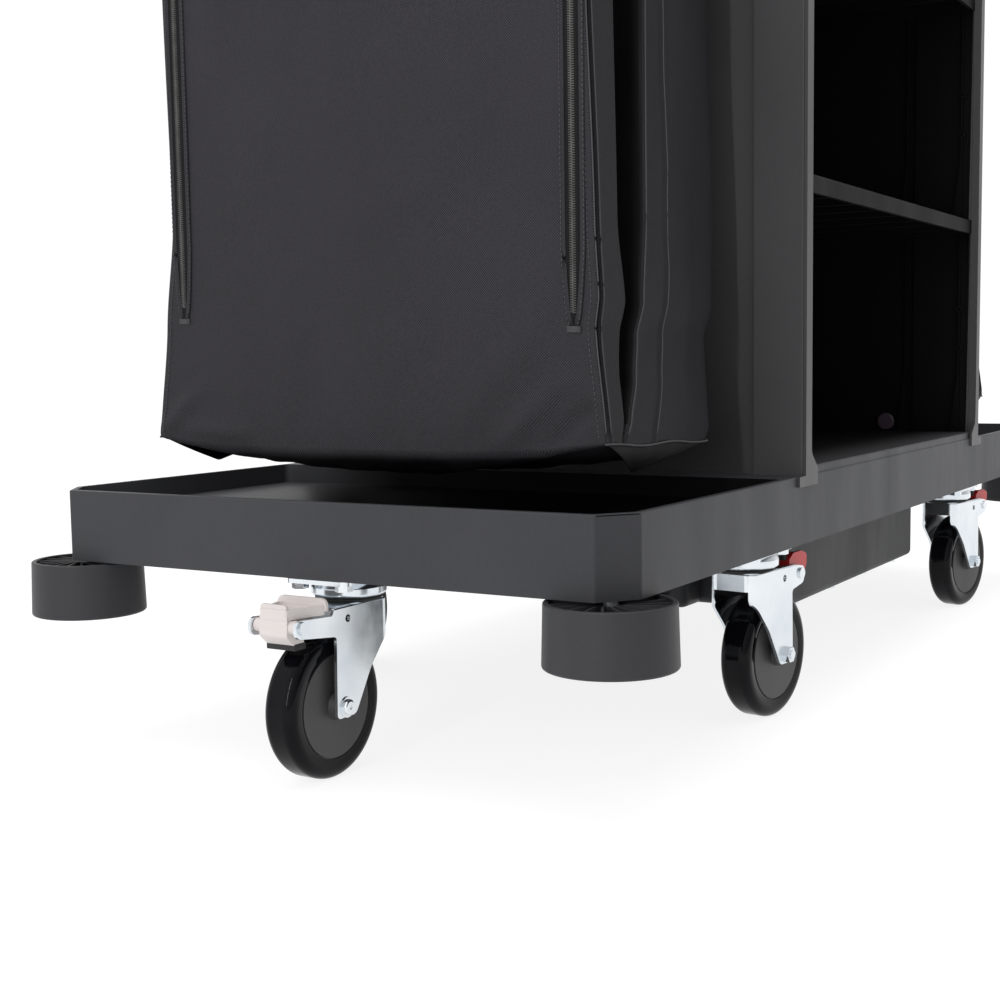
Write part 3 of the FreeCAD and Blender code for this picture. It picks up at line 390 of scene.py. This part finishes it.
def tube(points, radius, sides=8, closed=False, flat=1.0):
    """Points and faces of a round tube along a line; flat below 1 squeezes it sideways."""
    count = len(points)
    rings = []
    for i in range(count):
        before = points[(i - 1) % count] if closed or i > 0 else points[i]
        after = points[(i + 1) % count] if closed or i < count - 1 else points[i]
        along = (after - before).normalized()
        side = along.cross(Vector((0, 0, 1)))
        side = side.normalized() if side.length > 0.05 else along.cross(Vector((0, 1, 0))).normalized()
        up = side.cross(along)
        size = radius(i / max(1, count - 1)) if callable(radius) else radius
        rings.append([points[i] + side * (math.cos(a) * size * flat) + up * (math.sin(a) * size)
                      for a in (2 * math.pi * k / sides for k in range(sides))])
    verts = [p for ring in rings for p in ring]
    faces = []
    for i in range(count if closed else count - 1):
        j = (i + 1) % count
        for k in range(sides):
            m = (k + 1) % sides
            faces.append((i * sides + k, i * sides + m, j * sides + m, j * sides + k))
    if not closed:
        faces.append(tuple(range(sides))[::-1])
        faces.append(tuple((count - 1) * sides + k for k in range(sides)))
    return verts, faces


def join_parts(parts):
    verts, faces = [], []
    for part_verts, part_faces in parts:
        start = len(verts)
        verts += part_verts
        faces += [tuple(start + index for index in face) for face in part_faces]
    return verts, faces


def half_turn(point):
    return Vector((-point.x, -point.y, point.z))


def same(point):
    return point


def settle(piece, body):
    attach(piece, body)
    return piece


def between(value, table):
    """Straight-line value from a table of (position, value) pairs."""
    if value <= table[0][0]:
        return table[0][1]
    for (a, va), (b, vb) in zip(table, table[1:]):
        if value <= b:
            share = (value - a) / (b - a)
            share = share * share * (3 - 2 * share) * 0.5 + share * 0.5
            return va + (vb - va) * share
    return table[-1][1]


# ---------------------------------------------------------------- bags
# A bag is described at the left end of the cart: depth runs inward from its front face.

BAG_FRONT = -0.645
BAG_FOOT = 0.284
BAG_TOP = 0.984
REAR_TOP = 0.952
HEM_RADIUS = 0.0125
FRAME_HEIGHT = 0.985
FRAME_HALF = 0.209
FRAME_END = -0.629

# Height above the floor against width, for the +Y and the -Y edge of the front
EDGE_PLUS = ((0.284, 0.236), (0.389, 0.223), (0.487, 0.211), (0.70, 0.214), (0.90, 0.220), (0.985, 0.221))
EDGE_MINUS = ((0.284, 0.243), (0.379, 0.234), (0.402, 0.237), (0.461, 0.234), (0.70, 0.226), (0.985, 0.221))
# Height against depth of the pleat's two lips, of the side seam and of the rear corner
LIP_FRONT = ((0.284, 0.033), (0.306, 0.040), (0.338, 0.040), (0.404, 0.053), (0.467, 0.046), (0.70, 0.055),
             (0.985, 0.085))
LIP_REAR = ((0.284, 0.0345), (0.306, 0.048), (0.338, 0.064), (0.371, 0.073), (0.404, 0.081), (0.467, 0.093),
            (0.70, 0.110), (0.985, 0.120))
SIDE_SEAM = ((0.284, 0.090), (0.338, 0.114), (0.371, 0.122), (0.438, 0.133), (0.985, 0.165))
REAR_DEPTH = ((0.280, 0.210), (0.297, 0.223), (0.371, 0.230), (0.408, 0.242), (0.478, 0.254), (0.985, 0.256))
PLEAT_DEPTH = ((0.292, 0.000), (0.312, 0.030), (0.371, 0.055), (0.467, 0.065), (0.70, 0.060), (0.985, 0.012))
GROOVE_DEPTH = ((0.286, 0.000), (0.310, 0.007), (0.371, 0.014), (0.467, 0.017), (0.80, 0.015), (0.985, 0.004))

BELLY_DROP = 0.0255
ZIPS = ((0.200, 0.400), (-0.217, 0.383))
ZIP_END = 0.940
STITCH_HEIGHT = 0.955


def side_line(z, edge, sign):
    """Section of one gusset at a height, from the front corner to the rear corner."""
    lip, ridge = between(z, LIP_FRONT), between(z, LIP_REAR)
    seam, rear = between(z, SIDE_SEAM), between(z, REAR_DEPTH)
    pleat, groove = between(z, PLEAT_DEPTH), between(z, GROOVE_DEPTH)
    knots = [(0.0, 0.0, 2), (0.0012, 0.0010, 2), (0.0030, -0.2 * groove, 2), (0.0060, -groove, 3),
             (0.0095, -0.3 * groove, 2), (0.0110, 0.0008, 3), (0.0140, 0.0002, 4),
             (lip - 0.003, 0.0002, 2), (lip, -0.003, 2), (lip + 0.001, -0.4 * pleat - 0.003, 4),
             (0.5 * (lip + ridge) + 0.004, -pleat - 0.003, 4), (ridge - 0.001, -0.5 * pleat - 0.002, 3),
             (ridge - 0.0003, -0.0005, 2), (ridge + 0.0018, 0.0014, 2), (ridge + 0.005, 0.0002, 8),
             (seam - 0.005, 0.0004, 2), (seam - 0.0015, 0.0022, 2), (seam + 0.0015, 0.0022, 2),
             (seam + 0.006, 0.0004, 12), (rear - 0.010, -0.001, 3), (rear - 0.002, -0.0045, 2),
             (rear, -0.009, 1)]
    line = []
    for (d0, y0, steps), (d1, y1, _) in zip(knots, knots[1:]):
        for k in range(steps):
            share = k / steps
            line.append((d0 + (d1 - d0) * share, sign * (edge + y0 + (y1 - y0) * share)))
    line.append((knots[-1][0], sign * (edge + knots[-1][1])))
    return line


def spread_points(start, end, count):
    return [(start[0] + (end[0] - start[0]) * k / count, start[1] + (end[1] - start[1]) * k / count)
            for k in range(1, count)]


FRONT_STEPS = 70
REAR_STEPS = 44


def bag_ring(z):
    """Closed section of a bag: front panel from +Y to -Y, -Y gusset, rear panel, +Y gusset."""
    plus = side_line(z, between(z, EDGE_PLUS), 1)
    minus = side_line(z, between(z, EDGE_MINUS), -1)
    ring = [plus[0]] + spread_points(plus[0], minus[0], FRONT_STEPS) + minus
    ring += spread_points(minus[-1], plus[-1], REAR_STEPS) + plus[:0:-1]
    return ring


def seam_height(depth, y):
    """Height of the bottom seam: highest at the corners, sagging between them."""
    across = min(1.0, abs(y) / 0.24)
    front = 0.2785 + 0.008 * across ** 3
    wave = 0.0012 * math.sin(depth * 55.0 + 1.0) if abs(y) > 0.2 else 0.0
    rear = 0.2800
    share = min(1.0, depth / 0.20)
    return front + (rear - front) * share + wave


def crease(point, a, b, width, height):
    """Push of a soft ridge that runs from a to b on a panel, as a height at a point of the panel."""
    run = b - a
    share = max(0.0, min(1.0, (point - a).dot(run) / run.length_squared))
    away = (point - (a + run * share)).length
    taper = math.sin(math.pi * min(1.0, 0.12 + 0.88 * share)) ** 0.5 if share < 1.0 else 0.0
    return height * taper * math.exp(-(away / width) ** 2)


# Creases of the front panel: start and end as (y, z), then width and height of the ridge
FRONT_CREASES = (
    ((-0.150, 0.288), (-0.212, 0.345), 0.0100, 0.0037),
    ((-0.196, 0.286), (-0.232, 0.320), 0.0070, -0.0034),
    ((-0.100, 0.300), (-0.200, 0.400), 0.0160, 0.0022),
    ((0.232, 0.292), (0.185, 0.335), 0.0080, 0.0037),
    ((0.200, 0.296), (0.120, 0.291), 0.0090, 0.0027),
    ((0.060, 0.290), (0.030, 0.420), 0.0260, -0.0020),
    ((-0.020, 0.290), (-0.060, 0.460), 0.0300, 0.0017),
    ((0.020, 0.620), (-0.090, 0.900), 0.0400, 0.0037),
    ((0.160, 0.640), (0.100, 0.960), 0.0300, 0.0034),
)
# Creases of the gussets: start and end as (depth, z)
SIDE_CREASES = (
    ((0.160, 0.290), (0.175, 0.420), 0.0100, 0.0014),
    ((0.190, 0.350), (0.225, 0.620), 0.0150, -0.0014),
    ((0.140, 0.520), (0.215, 0.800), 0.0180, 0.0020),
    ((0.215, 0.284), (0.200, 0.310), 0.0060, 0.0020),
)


def panel_push(place, table):
    return sum(crease(place, Vector(a), Vector(b), width, height) for a, b, width, height in table)


def drape(depth, y, z, seed):
    """A point of the bag skin in row coordinates, with the soft unevenness of cloth."""
    x = BAG_FRONT + depth
    calm = 1.0
    for zip_y, zip_z in ZIPS:
        if z > zip_z - 0.03:
            calm = min(calm, max(0.15, (abs(y - zip_y) - 0.006) / 0.03)) if depth < 0.002 else calm
    ripple = noise.noise(Vector((y * 9.0, z * 5.0, seed))) * 0.0020 * min(1.0, calm)
    fine = noise.noise(Vector((y * 34.0 + seed, z * 26.0, x * 34.0))) * 0.0004 * min(1.0, calm)
    if depth < 0.002:
        push = panel_push(Vector((y, z)), FRONT_CREASES) * calm
        edge = min(1.0, (0.24 - abs(y)) / 0.05) if abs(y) < 0.24 else 0.0
        return Vector((x - push - (ripple + fine) * max(0.2, edge), y, z))
    rear = between(z, REAR_DEPTH)
    if depth > rear - 0.004 and abs(y) < 0.225:
        return Vector((x + (ripple + fine) * 0.8, y, z))
    sign = 1.0 if y > 0 else -1.0
    lip = between(z, LIP_REAR)
    free = max(0.0, min(1.0, (depth - lip) / 0.02, (rear - depth) / 0.02))
    push = panel_push(Vector((depth, z)), SIDE_CREASES)
    slack = noise.noise(Vector((depth * 12.0, z * 6.0, seed + sign * 3.0))) * 0.0022
    return Vector((x, y + sign * (push + slack + fine) * free, z))


def row_point(share, depth, y, seed):
    """Point of the skin a share of the way up from the bottom seam to the top."""
    low = seam_height(depth, y)
    return drape(depth, y, low + (BAG_TOP - low) * share, seed)


def cloth_kind(level, depth, y):
    """Cloth of a point of the skin: 0 for the front and rear panels, 1 for a gusset, painted darker as painted
    shade, 2 inside its folds, painted near-black as painted shade.
    """
    inset = between(level, EDGE_PLUS if y > 0 else EDGE_MINUS) - abs(y)
    if depth < 0.001 or depth > between(level, REAR_DEPTH) - 0.003:
        return 0
    return 2 if inset > 0.0035 else 1


def bag_skin(name, seed, turn, cloths):
    """Outer cloth of a bag: gussets with a pleat, a hanging belly and an open top."""
    rows = 200
    count = len(bag_ring(0.3))
    verts, faces, kinds, face_kinds = [], [], [], []
    for row in range(rows + 1):
        share = (row / rows) ** 1.15
        level = BAG_FOOT + (BAG_TOP - BAG_FOOT) * share
        for depth, y in bag_ring(level):
            verts.append(row_point(share, depth, y, seed))
            kinds.append(cloth_kind(level, depth, y))
    for row in range(rows):
        for k in range(count):
            m = (k + 1) % count
            a, b = row * count + k, row * count + m
            corners = (a, a + count, b + count, b)
            behind = all(verts[i].x > BAG_FRONT + 0.235 and abs(verts[i].y) < 0.216 for i in corners)
            if behind and verts[a + count].z > REAR_TOP:
                continue
            faces.append(corners)
            face_kinds.append(max(kinds[i] for i in corners))
    rim = verts[:count]
    middle = Vector((BAG_FRONT + 0.105, 0.0, 0.0))
    belly_rings = 22
    start = len(verts)
    for ring in range(1, belly_rings + 1):
        inward = 1.0 - (ring / belly_rings) ** 1.25
        for p in rim:
            x = middle.x + (p.x - middle.x) * inward
            y = middle.y + (p.y - middle.y) * inward
            u = min(1.0, abs(y) / 0.240)
            v = min(1.0, abs(x - middle.x) / 0.106)
            drop = BELLY_DROP * ((1 - u * u) * (1 - v * v)) ** 0.45
            free = min(1.0, 4 * (1 - inward) + 0.1)
            pucker = noise.noise(Vector((x * 42.0, y * 36.0, seed))) * 0.004 * free
            verts.append(Vector((x, y, p.z - drop + pucker)))
    for ring in range(belly_rings):
        base_in = start + ring * count
        base_out = start + (ring - 1) * count if ring else 0
        for k in range(count):
            m = (k + 1) % count
            faces.append((base_out + k, base_out + m, base_in + m, base_in + k))
    faces.append(tuple(start + (belly_rings - 1) * count + k for k in range(count))[::-1])
    piece = add_mesh(name, [turn(v) for v in verts], faces, cloths[0])
    for cloth in cloths[1:]:
        piece.data.materials.append(cloth)
    face_kinds += [0] * (len(piece.data.polygons) - len(face_kinds))
    piece.data.polygons.foreach_set("material_index", face_kinds)
    weld = piece.modifiers.new("weld", "WELD")
    weld.merge_threshold = 0.00005
    thick = piece.modifiers.new("cloth thickness", "SOLIDIFY")
    thick.thickness = 0.0004
    thick.offset = -1.0
    return piece


def bag_piping(name, seed, turn, material):
    """Thin bound seam along the bottom of both gussets, lifted in places."""
    parts = []
    for table, sign in ((EDGE_MINUS, -1), (EDGE_PLUS, 1)):
        kept = []
        for depth, y in side_line(BAG_FOOT, between(BAG_FOOT, table), sign):
            p = drape(depth, y, seam_height(depth, y), seed)
            p += Vector((0.0, sign * (0.0012 + 0.0012 * math.sin(depth * 70.0) ** 2), 0.0))
            if not kept or (p - kept[-1]).length > 0.004:
                kept.append(p)
        parts.append(tube(kept, 0.0010, 8))
    verts, faces = join_parts(parts)
    return add_mesh(name, [turn(v) for v in verts], faces, material)


def bag_corners(name, seed, turn, material):
    """Folded corner of cloth that hangs under the seam of each gusset."""
    parts = []
    steps, rows = 40, 8
    for table, sign in ((EDGE_PLUS, 1), (EDGE_MINUS, -1)):
        edge = between(BAG_FOOT, table)
        tip = Vector((BAG_FRONT + 0.068, sign * (edge - 0.010), 0.2600))
        verts = []
        for row in range(rows + 1):
            share = row / rows
            for k in range(steps + 1):
                depth = 0.002 + 0.190 * k / steps
                y = sign * edge
                seam = drape(depth, y, seam_height(depth, y), seed) + Vector((0, sign * 0.0006, 0))
                bulge = Vector((0, sign * 0.0030 * math.sin(math.pi * share), 0))
                verts.append(seam + (tip - seam) * share * 0.98 + bulge)
        across = steps + 1
        starts = [r * across + k for r in range(rows) for k in range(steps)]
        parts.append((verts, [(a, a + 1, a + across + 1, a + across) for a in starts]))
    verts, faces = join_parts(parts)
    piece = add_mesh(name, [turn(v) for v in verts], faces, material)
    thick = piece.modifiers.new("cloth thickness", "SOLIDIFY")
    thick.thickness = 0.0006
    return piece


def fold_edges(z, edge, sign):
    """Section points of a gusset where a seam or a folded edge catches the light."""
    ridge, seam = between(z, LIP_REAR), between(z, SIDE_SEAM)
    places = ((0.0012, 0.0012), (0.0110, 0.0010), (ridge + 0.0018, 0.0016), (seam, 0.0024))
    return [(depth, sign * (edge + y)) for depth, y in places]


def bag_edges(name, seed, turn, material):
    """Thin raised edges of both gussets: front corner, groove, pleat and side seam, in pale thread that also
    paints the highlight where they catch the light.
    """
    parts = []
    steps = 170
    for table, sign in ((EDGE_PLUS, 1), (EDGE_MINUS, -1)):
        lines = [[], [], [], []]
        for step in range(steps + 1):
            share = 0.012 + 0.955 * step / steps
            level = BAG_FOOT + (BAG_TOP - BAG_FOOT) * share
            for line, (depth, y) in zip(lines, fold_edges(level, between(level, table), sign)):
                line.append(row_point(share, depth, y, seed))
        parts += [tube(line, 0.0007, 6) for line in lines]
    verts, faces = join_parts(parts)
    return add_mesh(name, [turn(v) for v in verts], faces, material)


def frame_path(lift):
    """Line of a bag's tube frame, from one rear end round the front to the other."""
    bend = 0.045
    rear = -0.392
    knee = FRAME_END + bend
    side = FRAME_HALF
    points = [Vector((rear + (knee - rear) * k / 30, side, FRAME_HEIGHT + lift)) for k in range(31)]
    points += [Vector((knee - bend * math.sin(a), side - bend * (1 - math.cos(a)), FRAME_HEIGHT + lift))
               for a in (math.pi / 2 * k / 10 for k in range(1, 11))]
    half = side - bend
    points += [Vector((FRAME_END, half - 2 * half * k / 40, FRAME_HEIGHT + lift)) for k in range(1, 40)]
    points += [Vector((p.x, -p.y, p.z)) for p in reversed(points[:41])]
    return points


def bag_hem(name, seed, turn, material):
    """Sleeve of cloth that holds the bag on its frame, gathered here and there."""
    path = frame_path(0.0)

    def size(share):
        gather = noise.noise(Vector((share * 38.0, seed, 0.0))) * 0.0009
        return HEM_RADIUS + gather + 0.0004 * math.sin(share * 300.0)

    verts, faces = tube(path, size, 14)
    return add_mesh(name, [turn(v) for v in verts], faces, material)


def bag_stitches(name, seed, turn, material):
    """Running stitch below the hem, round the front and along both gussets, and down both front seams."""
    parts = []
    ring = bag_ring(STITCH_HEIGHT)
    stitch = 0.0045
    last = None
    for depth, y in ring:
        p = drape(depth, y, STITCH_HEIGHT, seed)
        out = Vector((-0.0007, 0, 0)) if depth < 0.002 else Vector((0, math.copysign(0.0007, y), 0))
        if depth > 0.24:
            continue
        if last is not None and 0.003 < (p - last).length < 0.02:
            parts.append(tube([last + out, last + out + (p - last).normalized() * stitch * 0.7], 0.00045, 5))
        last = p
    for edge, sign in ((EDGE_PLUS, 1), (EDGE_MINUS, -1)):
        steps = 150
        for k in range(steps):
            z = 0.292 + (0.94 - 0.292) * k / steps
            y = sign * (between(z, edge) - 0.0045)
            p = drape(0.0, y, z, seed) + Vector((-0.0007, 0, 0))
            parts.append(tube([p, p + Vector((0, 0, 0.0028))], 0.0004, 5))
    verts, faces = join_parts(parts)
    return add_mesh(name, [turn(v) for v in verts], faces, material)


def zip_close(z, bottom):
    """Half width of the zipper's opening as a share of its full width; it comes to a point."""
    return min(1.0, (z - bottom) / 0.060) ** 0.55


def zip_slit(name, turn, material, tape, thread):
    """Folded edges of cloth beside the zippers, the tape between them and the stitching."""
    parts, tape_parts, seams = [], [], []
    half = 0.0062
    band = 0.0026
    steps = 70
    for y, bottom in ZIPS:
        levels = [bottom + (ZIP_END - bottom) * k / steps for k in range(steps + 1)]
        edges = []
        for sign in (1, -1):
            line = [Vector((BAG_FRONT - 0.0011, y + sign * (half * zip_close(z, bottom) + band), z))
                    for z in levels]
            parts.append(tube(line, band, 8, flat=0.40))
            edges.append([Vector((BAG_FRONT - 0.0009, y + sign * (half * zip_close(z, bottom) + 0.0006), z))
                          for z in levels])
            for z in (bottom + 0.0042 * k for k in range(int((ZIP_END - bottom) / 0.0042))):
                across = sign * (half * zip_close(z, bottom) + 1.6 * band)
                p = Vector((BAG_FRONT - 0.0021, y + across, z))
                seams.append(tube([p, p + Vector((0, 0, 0.0026))], 0.00042, 5))
        start = steps + 1
        tape_parts.append((edges[0] + edges[1], [(k, k + 1, start + k + 1, start + k) for k in range(steps)]))
        for k in range(5):
            z = bottom - 0.0015 - 0.0010 * k
            seams.append(tube([Vector((BAG_FRONT - 0.0014, y - 0.0062, z)),
                               Vector((BAG_FRONT - 0.0014, y + 0.0062, z + 0.0004))], 0.0006, 6))
    verts, faces = join_parts(parts)
    welts = add_mesh(name, [turn(v) for v in verts], faces, material)
    verts, faces = join_parts(seams)
    stitches = add_mesh(name + "_thread", [turn(v) for v in verts], faces, thread)
    verts, faces = join_parts(tape_parts)
    sheet = add_mesh(name + "_tape", [turn(v) for v in verts], faces, tape)
    thick = sheet.modifiers.new("tape thickness", "SOLIDIFY")
    thick.thickness = 0.0006
    return welts, sheet, stitches


def zip_teeth(name, turn, material):
    """Moulded teeth of both zippers of a bag."""
    verts, faces = [], []
    pitch = 0.0019
    box_faces = ((0, 1, 2, 3), (7, 6, 5, 4), (0, 4, 5, 1), (1, 5, 6, 2), (2, 6, 7, 3), (3, 7, 4, 0))
    for y, bottom in ZIPS:
        rows = int((ZIP_END - bottom - 0.016) / pitch)
        for row in range(rows):
            for sign in (-1, 1):
                z = bottom + 0.010 + row * pitch + (0.5 * pitch if sign > 0 else 0.0)
                inner, outer = y - sign * 0.0006, y + sign * 0.0027
                base, crest = BAG_FRONT - 0.0012, BAG_FRONT - 0.0024
                low, high = z - 0.00042, z + 0.00042
                start = len(verts)
                verts += [Vector((base, inner, low)), Vector((base, outer, low)), Vector((base, outer, high)),
                          Vector((base, inner, high)), Vector((crest, inner, low + 0.0001)),
                          Vector((crest + 0.0004, outer, low + 0.0001)),
                          Vector((crest + 0.0004, outer, high - 0.0001)),
                          Vector((crest, inner, high - 0.0001))]
                faces += [tuple(start + i for i in face) for face in box_faces]
    return add_mesh(name, [turn(v) for v in verts], faces, material, smooth=False)


def make_bags(materials):
    tapes = []
    for side, seed, turn in (("left", 2.0, same), ("right", 7.0, half_turn)):
        fabric = materials["bag_fabric"]
        # Bag nylon, the gusset nylon painted darker as painted shade, and near-black painted shade inside the
        # folds
        cloths = [fabric, materials["gusset_shaded_fabric"], materials["fold_shade_fabric"]]
        skin = settle(bag_skin("bag_skin_" + side, seed, turn, cloths), "cart")
        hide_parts("bag_" + side)
        settle(bag_piping("bag_piping_" + side, seed, turn, materials["thread"]), "cart")
        # The folded corners take the dark zipper-tape cloth instead of the bag nylon: painted shade
        corners = bag_corners("bag_corners_" + side, seed, turn, materials["zip_tape"])
        settle(corners, "cart")
        settle(bag_edges("bag_edges_" + side, seed, turn, materials["thread"]), "cart")
        settle(bag_hem("bag_hem_" + side, seed, turn, fabric), "cart")
        settle(bag_stitches("bag_stitches_" + side, seed, turn, materials["thread"]), "cart")
        welts, tape, stitches = zip_slit("zip_welts_" + side, turn, fabric, materials["zip_tape"],
                                         materials["thread"])
        settle(welts, "cart")
        settle(stitches, "cart")
        settle(tape, "cart")
        settle(zip_teeth("zip_teeth_" + side, turn, materials["zip_teeth"]), "cart")
        tapes.append(tape)
    for tape in tapes:
        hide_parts("zip_tapes")


# ---------------------------------------------------------------- details on the casters

def ring_band(centre, inner, outer, low, high, sides=48):
    """Flat ring with a rectangular section round an upright axis."""
    verts, faces = [], []
    profile = [(inner, low), (outer, low), (outer, high), (inner, high)]
    for k in range(sides):
        a = 2 * math.pi * k / sides
        for radius, z in profile:
            verts.append(Vector((centre.x + radius * math.cos(a), centre.y + radius * math.sin(a), z)))
    for k in range(sides):
        m = (k + 1) % sides
        for j in range(4):
            n = (j + 1) % 4
            faces.append((k * 4 + j, m * 4 + j, m * 4 + n, k * 4 + n))
    return verts, faces


# Rubber on a pedal, from the swivel's axis: start and end outward, half width, bottom and top
LONG_PAD = (0.0797, 0.0946, 0.0150, 0.1202, 0.1260)
SHORT_PAD = (0.0522, 0.0588, 0.0160, 0.1540, 0.1606)
# Dust seal under a caster's upper race: inner and outer radius, bottom and top
SEAL = (0.0225, 0.0295, 0.15105, 0.15275)


def pedal_pads(materials):
    """Rubber on the brake pedals: a strip under the long pedals, a pad behind the short ones."""
    places = {joint["name"]: Vector(joint["pos_m"]) for joint in frame["joints"] if joint["type"] == "hinge"}
    for name, pivot in places.items():
        if not name.startswith("brake_"):
            continue
        caster = name[len("brake_"):]
        swivel = places["swivel_" + caster]
        along = Vector((pivot.x - swivel.x, pivot.y - swivel.y, 0.0)).normalized()
        across = Vector((-along.y, along.x, 0.0))
        origin = Vector((swivel.x, swivel.y, 0.0))
        u0, u1, half, z0, z1 = LONG_PAD if caster.startswith("end") else SHORT_PAD
        corners = [(u0, -half), (u1, -half), (u1, half), (u0, half)]
        verts = [origin + along * u + across * v + Vector((0, 0, z)) for z in (z0, z1) for u, v in corners]
        faces = [(3, 2, 1, 0), (4, 5, 6, 7), (0, 1, 5, 4), (1, 2, 6, 5), (2, 3, 7, 6), (3, 0, 4, 7)]
        pad = add_mesh("pad_" + caster, verts, faces, materials["grip_rubber"], smooth=False)
        bevel = pad.modifiers.new("edge", "BEVEL")
        bevel.width = 0.0009
        bevel.segments = 2
        settle(pad, "brake_" + caster)


def make_seals(materials):
    """Dark dust seal that shows as a thin line under the upper race of each caster."""
    for joint in frame["joints"]:
        if not joint["name"].startswith("swivel_"):
            continue
        place = Vector(joint["pos_m"])
        verts, faces = ring_band(place, *SEAL)
        seal = add_mesh("seal_" + joint["child"], verts, faces, materials["grip_rubber"])
        settle(seal, joint["child"])


# Inside of a tray and of the cabinet: half length, half width or Y limits, and heights
TRAY_START, TRAY_END, TRAY_HALF = 0.380, 0.7225, 0.2945
TRAY_LOW, TRAY_HIGH = 0.2195, 0.2405
BAY_HALF, BAY_FRONT, BAY_BACK = 0.3263, -0.2925, 0.2843
BAY_TOP = 1.1805
BAY_FLOOR, BAY_FLOOR_HALF = 0.2465, 0.3265


def region(name, slot, place, normal):
    """Finish of one face: its node's own, or one for the tub, a tray floor with painted reflection and painted
    shade, a cabinet floor with painted shade, or the inside of the cabinet, painted near-black as painted shade.
    """
    x, y, z = abs(place.x), place.y, place.z
    if name == "underbody_tub":
        return "tub_plastic"
    if name in ("mid_shelf", "upper_shelf"):
        return "inner_plastic"
    if name == "base_deck":
        if TRAY_START < x < TRAY_END and abs(y) < TRAY_HALF and TRAY_LOW < z < TRAY_HIGH:
            return "tray_plastic"
        if x < BAY_FLOOR_HALF and z > BAY_FLOOR and normal.z > 0.5:
            return "bay_floor_plastic"
    # Inner faces of the cabinet walls take the near-black painted-shade plastic
    elif slot == "cabinet_plastic" and x < BAY_HALF and BAY_FRONT < y < BAY_BACK and TRAY_HIGH < z < BAY_TOP:
        return "inner_plastic"
    return slot


def dress_frame(materials):
    """Gives the faces of each node of the frame their finished materials."""
    slots = {part["node"]: part["material_slot"] for part in frame["record"]["subparts"]}
    for name, node in frame["nodes"].items():
        faces = node.data.polygons
        kinds = [region(name, slots[name], node.matrix_world @ face.center, face.normal) for face in faces]
        used = sorted(set(kinds))
        node.data.materials.clear()
        for kind in used:
            node.data.materials.append(materials[kind])
        faces.foreach_set("material_index", [used.index(kind) for kind in kinds])


def make_floor(materials):
    corners = ((-1, -1), (1, -1), (1, 1), (-1, 1))
    points = [Vector((x * FLOOR_HALF, y * FLOOR_HALF, 0)) for x, y in corners]
    floor = add_mesh("floor", points, [(0, 1, 2, 3)], materials["floor"], smooth=False)


make_camera()
make_light()
materials = make_materials()
dress_frame(materials)
make_bags(materials)
make_seals(materials)
pedal_pads(materials)
make_floor(materials)
